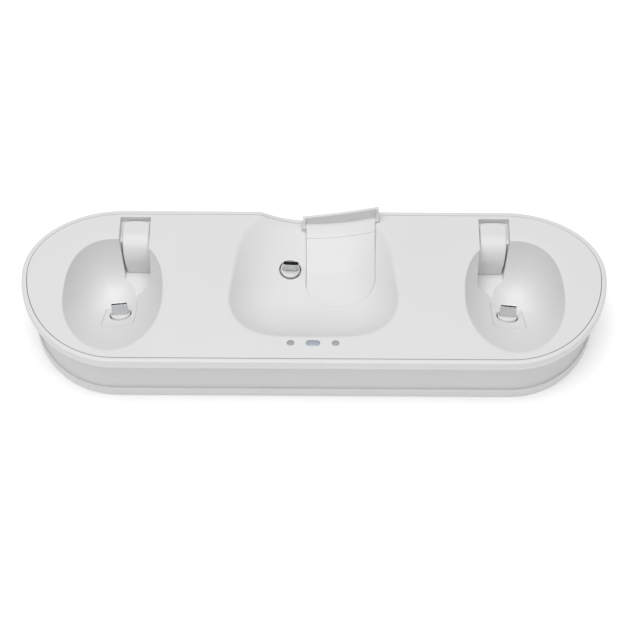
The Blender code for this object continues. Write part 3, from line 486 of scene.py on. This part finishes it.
def buildUpperBody():
    top = dock["topZ"]
    rimLow = top - housing["rimDrop"]
    foot = dock["bandZ"] + 0.01 * mm
    waist = housing["waistIn"]
    # the waist is deepest under the rim and flares out towards the foot, faster and faster
    share = np.linspace(1, 0, 26)
    under = rimLow - 1.9 * mm
    narrow = housing["bandIn"] + 0.65 * mm
    flare = narrow + (waist - narrow) * share ** 0.62
    cove = np.column_stack([flare, foot + (under - foot) * share])
    start = [(waist - 0.9 * mm, rimLow - 0.9 * mm), (waist - 0.3 * mm, rimLow - 1.2 * mm)]
    cove = np.concatenate([start, cove])
    outer = roundedPath(np.array([
        (6 * mm, top - 3.3 * mm, 0), (dock["seam"], top - 3.3 * mm, 0), (dock["seam"], top, 0.25 * mm),
        (0, top - 0.1 * mm, 1.9 * mm), (0.1 * mm, top - 4.2 * mm, 2.0 * mm), (1.7 * mm, rimLow, 1.0 * mm),
        (3.2 * mm, rimLow - 0.7 * mm, 0.3 * mm)]))[14:]
    inner = np.array([
        (housing["bandIn"] + 2.8 * mm, foot),
        (housing["innerIn"] - 1.6 * mm, foot + 3.2 * mm), (housing["innerIn"], foot + 8 * mm),
        (housing["innerIn"], rimLow - 4 * mm), (housing["innerIn"] - 1.6 * mm, rimLow - 0.6 * mm),
        (3.4 * mm, rimLow + 1.4 * mm), (3.4 * mm, top - 3.3 * mm), (dock["seam"], top - 3.3 * mm)])
    path = np.concatenate([outer, cove, inner])
    body = loftMesh("upperBody", sweptRings(path, foot), caps=False)
    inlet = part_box("inlet_shell")
    width = (inlet[1].x - inlet[0].x) / 2
    tall = (inlet[1].z - inlet[0].z) / 2
    outline = slotOutline(width - tall, tall + 0.25 * mm)
    z = (inlet[0].z + inlet[1].z) / 2
    rings = [np.column_stack([outline[:, 0], np.full(len(outline), y), outline[:, 1] + z])
             for y in (dock["back"] - 16 * mm, dock["back"] + 3 * mm)]
    boolean(body, [loftMesh("inletCut", rings)], "DIFFERENCE")
    return addPiece(body, "satinAbs", "root", "white_shell", "upper_body")


def buildTray():
    edge = 0.7 * mm
    inset = housing["bandIn"]
    low, high = dock["trayZ"], dock["bandZ"]
    turn = np.linspace(0, pi / 2, 8)
    path = [(inset + housing["floorIn"], low)]
    path += list(zip(inset + edge - edge * np.sin(turn), low + edge - edge * np.cos(turn)))
    chamfer = 0.15 * mm
    path += [(inset, high - chamfer), (inset + chamfer, high), (inset + housing["trayWall"], high),
             (inset + housing["trayWall"], low + housing["trayFloor"]),
             (inset + housing["floorIn"], low + housing["trayFloor"])]
    rings = []
    for inwards, z in path:
        outline = planOutline(inwards, 60, 49)
        rings.append(np.column_stack([outline, np.full(len(outline), z)]))
    tray = loftMesh("bottomTray", rings)
    holes = []
    for i in range(1, 7):
        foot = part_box(f"foot_{i}")
        middle = (foot[0] + foot[1]) / 2
        radius = (foot[1].x - foot[0].x) / 2 + 0.25 * mm
        holes.append(loftMesh(f"footHole{i}", turned([(radius, -1 * mm), (radius, foot[1].z + 0.25 * mm)])
                              + np.array([middle.x, middle.y, 0])))
        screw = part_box(f"screw_{i}")
        middle = (screw[0] + screw[1]) / 2
        radius = (screw[1].x - screw[0].x) / 2 + 0.3 * mm
        holes.append(loftMesh(f"screwHole{i}", turned([(radius, -1 * mm), (radius, 2.95 * mm)], 40)
                              + np.array([middle.x, middle.y, 0])))
    boolean(tray, holes, "DIFFERENCE")
    return addPiece(tray, "satinAbs", "root", "white_shell", "bottom_tray")


topShell = {
    "zoneX": 50 * mm,            # where the middle zone meets the end zones
    "zoneSteps": 64,
    "arcSteps": 84,
    "bowlRings": 26,
    "troughRings": 24,
    "steepest": 0.42,            # the wall is measured along the normal down to this share of upright
}


def raysTo(centre, outline, shares):
    # points on the straight rays from a centre to an outline, at each share of the ray
    return centre[None, None] + shares[..., None] * (outline - centre)[None]


def zoneFaces(rows, cols, start):
    # a fan round the zone's centre point, then quads from ring to ring
    faces = gridFaces(rows, cols, True, start + 1)
    c = np.arange(cols)
    fan = np.stack([np.full(cols, start), start + 1 + c, start + 1 + (c + 1) % cols], axis=-1)
    return fan.tolist() + faces


def endZone():
    # right end of the top: rings follow the bowl's outline, crowd together at its rim, then run out flat
    inset = dock["seam"] + dock["seamGap"]
    outline = planOutline(inset, topShell["arcSteps"], 49)
    right = outline[(outline[:, 0] > topShell["zoneX"] + 1 * mm)]
    edgeY = dock["back"] - inset
    order = np.argsort(np.arctan2(right[:, 1] - 6 * mm, right[:, 0] - 103 * mm))
    right = right[order]
    line = np.linspace(edgeY, -edgeY, topShell["zoneSteps"])
    seam = np.column_stack([np.full(len(line), topShell["zoneX"]), line])
    outline = np.concatenate([right, seam])
    outline = outline[np.argsort(np.arctan2(outline[:, 1] - 6 * mm, outline[:, 0] - 103 * mm))]
    centre = np.array([bowl["x"] + bowl["lowX"], bowl["y"] + bowl["lowY"]])
    dx, dy = (outline - centre).T
    rim = bowlReach(dx, dy)
    curve = bowlCurve(dx, dy)
    soft = bowl["edge"] / (bowl["deep"] * curve)
    inner = np.linspace(0.02, 1, topShell["bowlRings"])[:, None] ** 0.8 * (1 - 3 * soft)
    steps = np.array([-2.2, -1.5, -1, -0.65, -0.3, 0, 0.3, 0.65, 1.02])[:, None]
    shares = np.concatenate([inner, 1 + steps * soft])
    rings = raysTo(centre, outline, shares * rim)
    depth = bowl["deep"] * (1 - shares ** curve)
    z = dock["topZ"] - blendEdge(depth, bowl["edge"])
    rings = np.concatenate([rings, z[..., None]], axis=-1)
    reach = (1 + 1.02 * soft) * rim
    out = reach + (1 - reach) * np.array([0.3, 0.65, 1.0])[:, None]
    flat = raysTo(centre, outline, out)
    flat = np.concatenate([flat, np.full(flat.shape[:2] + (1,), dock["topZ"])], axis=-1)
    low = np.array([[*centre, dock["topZ"] - bowl["deep"]]])
    return low, np.concatenate([rings, flat])


def middleZone():
    # middle of the top: rings follow the trough's outline, and at the back they run out over the edge
    edgeY = dock["back"] - dock["seam"] - dock["seamGap"]
    line = np.linspace(-edgeY, edgeY, topShell["zoneSteps"])
    along = np.linspace(-topShell["zoneX"], topShell["zoneX"], 97)[1:-1]
    outline = np.concatenate([
        np.column_stack([along, np.full(95, -edgeY)]),
        np.column_stack([np.full(len(line), topShell["zoneX"]), line]),
        np.column_stack([-along, np.full(95, edgeY)]),
        np.column_stack([np.full(len(line), -topShell["zoneX"]), -line])])
    centre = np.array([0.0, trough["middle"]])
    low = np.zeros(len(outline))
    high = np.ones(len(outline))
    for _ in range(40):
        mid = (low + high) / 2
        spot = centre + mid[:, None] * (outline - centre)
        inside = troughDepth(spot[:, 0], spot[:, 1]) > 0
        low = np.where(inside, mid, low)
        high = np.where(inside, high, mid)
    rim = np.minimum(low, 0.93)
    inner = np.linspace(0.02, 1, topShell["troughRings"])[:, None] ** 0.9 * 0.9
    near = 1 + np.array([-8, -6.4, -5, -3.9, -3, -2.2, -1.5, -0.8, 0, 0.8, 1.5, 2.2, 3, 4])[:, None] * 0.01
    shares = np.concatenate([inner, near]) * rim
    out = 1.04 * rim + (1 - 1.04 * rim) * np.array([0.35, 0.7, 1.0])[:, None]
    rings = raysTo(centre, outline, np.concatenate([shares, out]))
    z = troughHeight(rings[..., 0], rings[..., 1])
    floor = np.array([[*centre, dock["topZ"] - trough["deep"]]])
    return floor, np.concatenate([rings, z[..., None]], axis=-1)


def buildSheet():
    # three zones of rings welded along their shared lines, then given a wall straight down
    points = []
    faces = []
    count = 0
    endPoint, endRings = endZone()
    for middle, rings in ((endPoint, endRings), middleZone(), (mirrorX(endPoint), mirrorX(endRings))):
        faces += zoneFaces(*rings.shape[:2], count)
        points += [middle, rings.reshape(-1, 3)]
        count += 1 + rings.shape[0] * rings.shape[1]
    sheet = makeMesh("topShell", np.concatenate(points), faces)
    return closeBelow(sheet)


def closeBelow(sheet):
    # closes a sheet into a solid: a copy straight below, deeper where it is steep, and walls round the border
    bm = bmesh.new()
    bm.from_mesh(sheet.data)
    made = bmesh.ops.extrude_face_region(bm, geom=bm.faces[:], use_keep_orig=True)["geom"]
    bm.normal_update()
    for v in [item for item in made if isinstance(item, bmesh.types.BMVert)]:
        v.co.z -= wall / max(abs(v.normal.z), topShell["steepest"])
    bmesh.ops.recalc_face_normals(bm, faces=bm.faces)
    bm.to_mesh(sheet.data)
    bm.free()
    return sheet


def channelBlock(grow, top):
    # the right channel as a solid: its (y, z) section carried across X, leaning inward as it goes down
    c = channel
    back = c["back"] + grow * 0.55
    shelf = c["shelfZ"] - grow * 0.75
    front, low = c["front"] - grow, c["ledgeZ"] - grow
    step = c["shelfFront"] + grow
    section = np.array([(front, low), (step, low), (step, shelf), (back, shelf), (back, top), (front, top)])
    half = c["width"] / 2 + grow
    rings = []
    for side in (-half, half):
        x = c["x"] + side - c["lean"] * (dock["topZ"] - section[:, 1])
        rings.append(np.column_stack([x, section]))
    return np.array(rings)


def bowlBlock(lower, top):
    # the right bowl's hollow as a solid, sunk by a little, with its rim carried straight up
    centre = np.array([bowl["x"] + bowl["lowX"], bowl["y"] + bowl["lowY"]])
    turn = np.linspace(0, 2 * pi, 120, endpoint=False)
    ray = np.column_stack([np.cos(turn), np.sin(turn)])
    rim = bowlReach(*ray.T)
    curve = bowlCurve(*ray.T)
    shares = np.linspace(0.02, 1, 24)[:, None]
    rings = raysTo(centre, centre + ray, shares * rim)
    z = dock["topZ"] - bowl["deep"] * (1 - shares ** curve) - lower
    rings = np.concatenate([rings, z[..., None]], axis=-1)
    lid = rings[-1:].copy()
    lid[..., 2] = top
    return np.concatenate([rings, lid])


def pocketGrid(clear, steps=44, columns=40):
    # rows over the strap pocket: straight sides, then half an ellipse at the front
    p = pocket
    share = np.linspace(0, 1, steps)
    bend = p["bend"] - p["front"] - clear
    curved = p["bend"] - bend * np.cos(share * pi / 2)
    y = np.concatenate([curved, np.linspace(p["bend"], p["split"] - clear * 0.4, 30)[1:]])
    ahead = np.clip((p["bend"] - y) / bend, 0, 1)
    half = (p["half"] - clear) * np.sqrt(np.maximum(1 - ahead ** 2, 0.0004))
    across = np.linspace(-1, 1, columns)
    x = p["x"] + half[:, None] * across[None]
    return x, np.repeat(y[:, None], columns, axis=1)


def restGrid(clear, columns=60):
    # rows over the strap rest: as wide as the pocket in front, wider round the lip and its short cheeks
    p = pocket
    start = p["split"] + (0.03 * mm if clear == 0 else -0.02 * mm)
    end = p["restBack"] if clear == 0 else dock["back"] + 1 * mm
    face = p["restBack"] - p["restWall"]
    step = face - p["cheek"]
    y = np.concatenate([
        np.linspace(start, step - 0.02 * mm, 16), np.linspace(step + 0.02 * mm, face - 0.25 * mm, 12),
        face + np.array([-0.1, -0.03, 0.03, 0.15, 0.5]) * mm,
        np.linspace(face + 1 * mm, end - 0.4 * mm, 4), [end - 0.1 * mm, end]])
    side = p["half"] + clear + np.where(y > step, p["restLip"], -0.1 * mm)
    across = np.linspace(-1, 1, columns)
    return p["x"] + side[:, None] * across[None], np.repeat(y[:, None], columns, axis=1)


def cradleOutline(grow):
    # the cradle's rectangle, in the plug's frame, running forward from behind the plug
    half = plugs["cradleWidth"] / 2 + grow
    return np.array([-half, half, -plugs["cradleFront"] - grow, plugs["cradleBack"] + grow])


plugs = {
    "width": 8.34 * mm, "thick": 2.56 * mm, "out": 6.65 * mm, "skin": 0.3 * mm,
    "collar": 5.2 * mm, "collarDeep": 2.0 * mm, "collarRise": 1.1 * mm, "disc": 4.85 * mm,
    "ring": 0.5 * mm, "pinDown": 4.6 * mm,
    "cradleWidth": 16.4 * mm, "cradleFront": 13 * mm, "cradleBack": 7.2 * mm, "cradleThick": 1.9 * mm,
    "socketDown": 3.0 * mm, "stemWidth": 9.0 * mm, "stemThick": 4.4 * mm, "stemDown": 6.2 * mm,
}


def plugFrame(name):
    # place and turn of a plug at its collar's face, from its joint: X along the pin, Z out of the surface
    joint = next(j for j in frame["joints"] if j["name"] == name + "_plug_tilt")
    across = Vector(joint["axis"]).normalized()
    pin = Vector(joint["pos_m"])
    step = 2 * mm
    sides = {"left": lambda x, y: bowlHeight(-x, y), "middle": troughHeight, "right": bowlHeight}
    height = sides[name]
    up = Vector((0, 0, 1))
    for _ in range(6):
        spot = pin + up * plugs["pinDown"]
        probe = np.array([[step, 0], [-step, 0], [0, step], [0, -step]]) + np.array([spot.x, spot.y])
        z = height(probe[:, 0], probe[:, 1])
        up = Vector((-(z[0] - z[1]) / (2 * step), -(z[2] - z[3]) / (2 * step), 1)).normalized()
    ahead = up.cross(across).normalized()
    turn = Matrix((across, ahead, up)).transposed().to_4x4()
    return Matrix.Translation(pin + up * plugs["pinDown"]) @ turn


def lightOutline(name, grow):
    # the lens seen from above: a circle, or the oval in the middle
    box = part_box(name)
    middle = (box[0] + box[1]) / 2
    radius = 1.7 * mm
    straight = radius if name == "middle_light" else 0.0
    outline = slotOutline(straight, radius + grow)
    return outline + np.array([middle.x, middle.y])


def buildTopShell():
    sheet = buildSheet()
    above = dock["topZ"] + 20 * mm
    grown = channelBlock(wall, dock["topZ"] - 1 * mm)
    hollow = bowlBlock(1 * mm, above)
    channels = [loftMesh("channelWallRight", grown), loftMesh("channelWallLeft", mirrorX(grown))]
    boolean(channels[0], [loftMesh("bowlInsideRight", hollow)], "DIFFERENCE")
    boolean(channels[1], [loftMesh("bowlInsideLeft", mirrorX(hollow))], "DIFFERENCE")
    x, y = pocketGrid(-1.2 * mm)
    floor = troughHeight(x, y)
    pocketWall = slabMesh("pocketWall", np.stack([x, y, floor - 1 * mm], axis=-1),
                          np.stack([x, y, floor - pocket["deep"] - 1.6 * mm], axis=-1))
    boolean(sheet, [*channels, pocketWall], "UNION")

    block = channelBlock(0, above)
    cuts = [loftMesh("channelCutRight", block), loftMesh("channelCutLeft", mirrorX(block))]
    x, y = pocketGrid(0)
    cuts.append(slabMesh("pocketCut", np.stack([x, y, np.full_like(x, above)], axis=-1),
                         np.stack([x, y, troughHeight(x, y) - pocket["deep"]], axis=-1)))
    x, y = restGrid(0.06 * mm)
    cuts.append(slabMesh("restCut", np.stack([x, y, np.full_like(x, above)], axis=-1),
                         np.stack([x, y, troughHeight(x, y) - pocket["restPlate"] - 0.2 * mm], axis=-1)))
    for name in ("left_light", "middle_light", "right_light"):
        outline = lightOutline(name, 0.1 * mm)
        cuts.append(loftMesh(name + "Cut", raised(outline, (dock["topZ"] - 9 * mm, above))))
    radius = plugs["collar"] + plugs["ring"]
    hole = turned([(radius, -9 * mm), (radius, 9 * mm)])
    cuts.append(loftMesh("middleHole", placed(hole, plugFrame("middle"))))
    for name in ("left", "right"):
        x0, x1, y0, y1 = cradleOutline(0.12 * mm)
        outline = np.array([(x0, y0), (x1, y0), (x1, y1), (x0, y1)])
        opening = placed(raised(outline, (-9 * mm, 14 * mm)), plugFrame(name))
        cuts.append(loftMesh(name + "Opening", opening))
    boolean(sheet, cuts, "DIFFERENCE")
    return addPiece(sheet, "grainedAbs", "root", "white_textured", "top_shell")


def buildStrapPad():
    x, y = pocketGrid(0.12 * mm)
    top = strapFloor(x, y)
    bottom = troughHeight(x, y) - pocket["deep"] + 0.3 * mm
    pad = slabMesh("strapPad", np.stack([x, y, top], axis=-1), np.stack([x, y, bottom], axis=-1))
    return addPiece(pad, "satinAbs", "root", "white_textured", "strap_pad")


def buildStrapRest():
    # floor, then the upright lip, whose ends turn forward as short cheeks; the lip's back top edge is eased
    p = pocket
    x, y = restGrid(0)
    face = p["restBack"] - p["restWall"]
    floor = strapFloor(x, np.minimum(y, face))
    top = lipHeight(p["lipTop"], x)
    ease = 0.35 * mm
    edgeBack = np.clip((y - (p["restBack"] - ease)) / ease, 0, 1)
    crown = top - ease * (1 - np.sqrt(1 - edgeBack ** 2))
    z = np.where(y > face, crown, floor)
    inset = p["half"] + p["restLip"] - np.abs(x - p["x"])
    cheek = np.clip((1.75 * mm - inset) / (0.2 * mm), 0, 1)
    along = np.clip((y - face + p["cheek"]) / p["cheek"], 0, 1)
    along = along * along * (3 - 2 * along)
    outside = np.maximum(floor, troughHeight(x, y))
    cheekTop = outside + (crown - outside) * along
    z = np.where((y <= face), z + (np.maximum(cheekTop, z) - z) * cheek, z)
    base = troughHeight(x, y) - p["restPlate"]
    z = np.maximum(z, base + 0.5 * mm)
    rest = slabMesh("strapRest", np.stack([x, y, z], axis=-1), np.stack([x, y, base], axis=-1))
    return addPiece(rest, "satinAbs", "root", "white_shell", "strap_rest")


chute = {
    "width": 13.8 * mm, "down": 1.6 * mm, "face": 24.4 * mm, "round": 12 * mm,
    "corner": 3.2 * mm, "ease": 0.8 * mm, "shift": -0.15 * mm,
}


def buildChute(side):
    # a tongue: level at the back, a quarter turn down to an upright face, back corners and edges eased
    c = chute
    top = dock["topZ"] - c["down"]
    back = channel["back"] - 0.7 * mm
    turn = np.linspace(pi, pi / 2, 34)
    roll = c["face"] + c["round"] * (1 + np.cos(turn))
    rollZ = top - c["round"] * (1 - np.sin(turn))
    flat = np.linspace(roll[-1], back - c["corner"], 12)[1:]
    end = back - c["corner"] * (1 - np.sin(np.linspace(0, pi / 2, 16)[1:]))
    y = np.concatenate([roll, flat, end])
    z = np.concatenate([rollZ, np.full(len(flat) + len(end), top)])
    half = np.full(len(y), c["width"] / 2)
    past = np.clip((y - (back - c["corner"])) / c["corner"], 0, 1)
    half -= c["corner"] * (1 - np.sqrt(np.clip(1 - past ** 2, 0.0001, 1)))
    z = z - 0.5 * mm * past ** 4
    edge = np.array([0, 0.08, 0.25, 0.5, 0.8, 1.1]) * c["ease"]
    inner = np.linspace(edge[-1], c["width"] - edge[-1], 16)[1:-1]
    across = np.concatenate([edge, inner, c["width"] - edge[::-1]]) / c["width"] * 2 - 1
    u = across[None, :] * half[:, None]
    fromEdge = np.minimum(half[:, None] - np.abs(u), c["ease"])
    drop = c["ease"] - np.sqrt(np.maximum(c["ease"] ** 2 - (c["ease"] - fromEdge) ** 2, 0))
    topZ = z[:, None] - drop - 0.25 * mm * across[None, :] ** 2
    gap = 0.3 * mm
    bottomZ = gap + np.where(y > channel["shelfFront"] - gap, channel["shelfZ"], channel["ledgeZ"])
    bottomZ = np.minimum(np.repeat(bottomZ[:, None], len(across), axis=1), topZ - gap)

    def leaning(height):
        return channel["x"] + c["shift"] + u - channel["lean"] * (dock["topZ"] - height)

    rows = np.repeat(y[:, None], len(across), axis=1)
    upper = np.stack([leaning(topZ), rows, topZ], axis=-1)
    lower = np.stack([leaning(bottomZ), rows, bottomZ], axis=-1)
    if side == "left":
        upper, lower = mirrorX(upper), mirrorX(lower)
    piece = slabMesh(side + "Chute", upper, lower, 40)
    return addPiece(piece, "satinAbs", "root", "white_shell", side + "_chute")


def buildCradle(side):
    # the bowl's own surface between a circle round the plug and the cradle's rectangle, with a wall below
    matrix = np.array(plugFrame(side))
    x0, x1, y0, y1 = cradleOutline(0)
    count = 36
    square = np.concatenate([
        np.column_stack([np.linspace(x0, x1, count, endpoint=False), np.full(count, y0)]),
        np.column_stack([np.full(count, x1), np.linspace(y0, y1, count, endpoint=False)]),
        np.column_stack([np.linspace(x1, x0, count, endpoint=False), np.full(count, y1)]),
        np.column_stack([np.full(count, x0), np.linspace(y1, y0, count, endpoint=False)])])
    direction = square / np.hypot(*square.T)[:, None]
    circle = direction * (plugs["collar"] + plugs["ring"])
    share = np.array([0, 0.03, 0.2, 0.4, 0.6, 0.8, 1.0])[:, None, None]
    flat = circle[None] + share * (square - circle)[None]
    w = np.zeros(flat.shape[:2])
    for _ in range(8):
        local = np.concatenate([flat, w[..., None]], axis=-1)
        world = placed(local, matrix)
        x = -world[..., 0] if side == "left" else world[..., 0]
        w = w + (bowlHeight(x, world[..., 1]) - world[..., 2]) * matrix[2, 2]
    w[0] -= 0.25 * mm
    top = placed(np.concatenate([flat, w[..., None]], axis=-1), matrix)
    under = placed(np.concatenate([flat, (w - plugs["cradleThick"])[..., None]], axis=-1), matrix)
    rings = np.concatenate([top, under[::-1]])
    piece = loftMesh(side + "Cradle", rings, caps=False)
    return addPiece(piece, "grainedAbs", "root", "white_textured", side + "_cradle")


def buildPlug(name):
    p = plugs
    matrix = plugFrame(name)
    body = name + "_plug"
    ease = np.linspace(0, pi / 2, 7)
    edge = 0.45 * mm
    raisedBy = p["collarRise"]
    disc = p["disc"]
    profile = [(0.02 * mm, -p["collarDeep"]), (disc - 0.3 * mm, -p["collarDeep"]),
               (disc, 0.3 * mm - p["collarDeep"])]
    profile += list(zip(disc - edge + edge * np.cos(ease), raisedBy + edge * np.sin(ease) - edge))
    profile += [(3.0 * mm, raisedBy), (0.02 * mm, raisedBy)]
    collar = loftMesh(name + "Carrier", placed(turned(profile, 72), matrix))
    half = np.array([p["stemWidth"], p["stemThick"]]) / 2
    stem = np.array([(-1, -1), (1, -1), (1, 1), (-1, 1)]) * half
    boolean(collar, [loftMesh("stem", placed(raised(stem, (-p["stemDown"], -1 * mm)), matrix))], "UNION")
    straight = (p["width"] - p["thick"]) / 2
    socket = raised(slotOutline(straight, p["thick"] / 2 + 0.08 * mm), (-p["socketDown"], 3 * mm))
    turn = np.linspace(0, 2 * pi, 40, endpoint=False)
    radius = 0.85 * mm
    circle = np.column_stack([radius * np.cos(turn), radius * np.sin(turn) - p["pinDown"]])
    bore = np.array([np.column_stack([np.full(40, x), circle]) for x in (-p["stemWidth"], p["stemWidth"])])
    cuts = [loftMesh("socket", placed(socket, matrix)), loftMesh("bore", placed(bore, matrix))]
    boolean(collar, cuts, "DIFFERENCE")
    addPiece(collar, "satinAbs", body, "white_textured", name + "_plug_carrier")

    # the shell's mouth is rolled in a little: outside up, round the lip, and down the inside
    base = -p["socketDown"] + 0.3 * mm
    lead = 0.18 * mm
    tall = p["out"]
    outside = [(0, base), (0, tall * 0.4), (0, tall - 3 * lead)]
    outside += list(zip(-lead * (1 - np.cos(ease)), tall - lead * 2 + lead * 2 * np.sin(ease)))
    inside = [(-p["skin"] - 0.02 * mm, tall - 0.12 * mm), (-p["skin"], tall - 0.5 * mm), (-p["skin"], base)]
    rings = [np.column_stack([slotOutline(straight, p["thick"] / 2 + grow, 24), np.full(48, z)])
             for grow, z in outside + inside]
    shell = loftMesh(name + "PlugShell", placed(np.array(rings), matrix), caps=False)
    addPiece(shell, "platedShell", body, "plug_steel", name + "_plug_shell")

    # contact block: lies deep in the shell, a plain slot-shaped solid up to under a third of its height, its
    # top edge chamfered
    inner = p["thick"] / 2 - p["skin"] - 0.1 * mm
    block = [np.column_stack([slotOutline(straight, inner - grow, 24), np.full(48, z)])
             for grow, z in ((0, base), (0, tall * 0.28), (0.12 * mm, tall * 0.3))]
    piece = loftMesh(name + "ContactBlock", placed(np.array(block), matrix))
    addPiece(piece, "blackNylon", body, "black_plastic", name + "_contact_block")


def buildLight(name, finish):
    # a lens with a low dome, its edge just under the top, on a flange inside
    outline = lightOutline(name, 0)
    middle = outline.mean(axis=0)
    top = dock["topZ"] - 0.12 * mm
    turn = np.linspace(0, pi / 2, 9)
    rings = [np.column_stack([middle + (outline - middle) * 1.3, np.full(len(outline), z)])
             for z in (top - 4.2 * mm, top - 3.8 * mm)]
    dome = 0.3 * mm
    rings += [np.column_stack([outline, np.full(len(outline), z)]) for z in (top - 3.7 * mm, top - dome)]
    rings += [np.column_stack([middle + (outline - middle) * max(np.cos(a), 0.01),
                               np.full(len(outline), top - dome + dome * np.sin(a))]) for a in turn]
    piece = loftMesh(name[:-6] + "Lens", np.array(rings))
    return addPiece(piece, finish, "root", "lens", name)


def buildFoot(index):
    # a turned rubber button with a dished face
    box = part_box(f"foot_{index}")
    middle = (box[0] + box[1]) / 2
    radius = (box[1].x - box[0].x) / 2
    top = box[1].z
    turn = np.linspace(0, pi / 2, 6)
    edge = 0.35 * mm
    profile = [(0.05 * mm, top), (radius, top)]
    profile += list(zip(radius - edge + edge * np.cos(turn), edge - edge * np.sin(turn)))
    profile += [(radius - 1.2 * mm, 0), (radius - 1.5 * mm, 0.12 * mm), (0.05 * mm, 0.16 * mm)]
    piece = loftMesh(f"rubberFoot{index}", turned(profile) + np.array([middle.x, middle.y, 0]))
    return addPiece(piece, "mouldedRubber", "root", "rubber", f"foot_{index}")


def buildScrew(index):
    # pan head with a cross recess, and a shank whose thread is a row of ridges
    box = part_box(f"screw_{index}")
    middle = (box[0] + box[1]) / 2
    radius = (box[1].x - box[0].x) / 2
    low, high = box[0].z, box[1].z
    headTop = low + 1.8 * mm
    shank = 1.1 * mm
    turn = np.linspace(0, pi / 2, 6)
    profile = [(0.03 * mm, low)]
    edge = 0.5 * mm
    profile += list(zip(radius - edge + edge * np.sin(turn), low + edge - edge * np.cos(turn)))
    profile += [(radius, headTop), (shank, headTop)]
    pitch = 0.9 * mm
    for z in np.arange(headTop + 1 * mm, high - 1.5 * mm, pitch):
        profile += [(shank - 0.2 * mm, z), (shank, z + pitch / 2)]
    profile += [(shank * 0.5, high - 0.5 * mm), (0.03 * mm, high)]
    piece = loftMesh(f"panScrew{index}", turned(profile, 32) + np.array([middle.x, middle.y, 0]))
    cross = []
    for w, d in ((2.6 * mm, 0.7 * mm), (0.7 * mm, 2.6 * mm)):
        outline = np.array([(-w, -d), (w, -d), (w, d), (-w, d)]) / 2 + np.array([middle.x, middle.y])
        cross.append(loftMesh("recess", raised(outline, (low - 1 * mm, low + 0.9 * mm))))
    boolean(piece, cross, "DIFFERENCE")
    return addPiece(piece, "springWire", "root", "spring_steel", f"screw_{index}")


buildUpperBody()
buildTray()
print("housing done")
buildTopShell()
print("top shell done")
buildStrapPad()
buildStrapRest()
for side in ("left", "right"):
    buildChute(side)
    buildCradle(side)
print("strap rest, chutes and cradles done")
for name in ("left", "middle", "right"):
    buildPlug(name)
buildLight("left_light", "clearLens")
buildLight("middle_light", "smokedLens")
buildLight("right_light", "clearLens")
for i in range(1, 7):
    buildFoot(i)
    buildScrew(i)
print("plugs, lights, feet and screws done")

# the inner pieces keep their frame shapes and take their own finishes
innerFinish = {
    "_hinge_pin": "springWire", "_return_spring": "springWire",
    "_plug_bracket": "galvanised", "_ballast": "galvanised",
    "_board": "solderMask", "_cable": "mouldedRubber",
    "inlet_shell": "platedShell", "inlet_blade": "blackNylon",
}
for name, obj in frame["nodes"].items():
    for ending, finish in innerFinish.items():
        if name.endswith(ending):
            obj.data.materials.clear()
            obj.data.materials.append(finishes[finish])

stage = {"floorHalf": 3.0, "floorColour": "#FAFAFA", "glow": 0.2, "sky": 0.38, "softbox": 14.3}


def buildFloor():
    half = stage["floorHalf"]
    mesh = bpy.data.meshes.new("floor")
    corners = [(-half, -half, 0), (half, -half, 0), (half, half, 0), (-half, half, 0)]
    mesh.from_pydata(corners, [], [(0, 1, 2, 3)])
    floor = bpy.data.objects.new("floor", mesh)
    bpy.context.scene.collection.objects.link(floor)
    mat = bpy.data.materials.new("paper")
    mat.use_nodes = True
    shader = mat.node_tree.nodes["Principled BSDF"]
    shader.inputs["Base Color"].default_value = hexColor(stage["floorColour"])
    shader.inputs["Roughness"].default_value = 0.9
    shader.inputs["Emission Color"].default_value = (1, 1, 1, 1)
    shader.inputs["Emission Strength"].default_value = stage["glow"]
    mesh.materials.append(mat)


def addSoftbox(name, place, aim, size, power):
    light = bpy.data.lights.new(name, "AREA")
    light.shape = "RECTANGLE"
    light.size, light.size_y = size
    light.energy = power
    obj = bpy.data.objects.new(name, light)
    obj.location = place
    obj.rotation_euler = (Vector(aim) - Vector(place)).to_track_quat("-Z", "Y").to_euler()
    bpy.context.scene.collection.objects.link(obj)


view = {
    "place": (8.56 * mm, -708.2 * mm, 874.1 * mm),
    "heading": 0.684, "elevation": 50, "roll": -0.195,       # degrees
    "lens": 122.72, "shiftX": 0.0094, "shiftY": -0.0472,
}


def addCamera():
    cam = bpy.data.cameras.new("camera")
    cam.lens = view["lens"]
    cam.shift_x = view["shiftX"]
    cam.shift_y = view["shiftY"]
    obj = bpy.data.objects.new("camera", cam)
    turn = Matrix.Rotation(radians(view["heading"]), 4, "Z")
    turn = turn @ Matrix.Rotation(radians(90 - view["elevation"]), 4, "X")
    turn = turn @ Matrix.Rotation(radians(view["roll"]), 4, "Z")
    obj.matrix_world = Matrix.Translation(view["place"]) @ turn
    bpy.context.scene.collection.objects.link(obj)
    bpy.context.scene.camera = obj


buildFloor()
addSoftbox("overheadSoftbox", (-0.08, -0.15, 1.3), (0, 0, 0), (1.2, 1.35), stage["softbox"])
world = bpy.data.worlds.new("studio")
world.use_nodes = True
world.node_tree.nodes["Background"].inputs["Color"].default_value = (1, 1, 1, 1)
world.node_tree.nodes["Background"].inputs["Strength"].default_value = stage["sky"]
bpy.context.scene.world = world
bpy.context.scene.view_settings.view_transform = "Standard"
addCamera()
print("stage done")
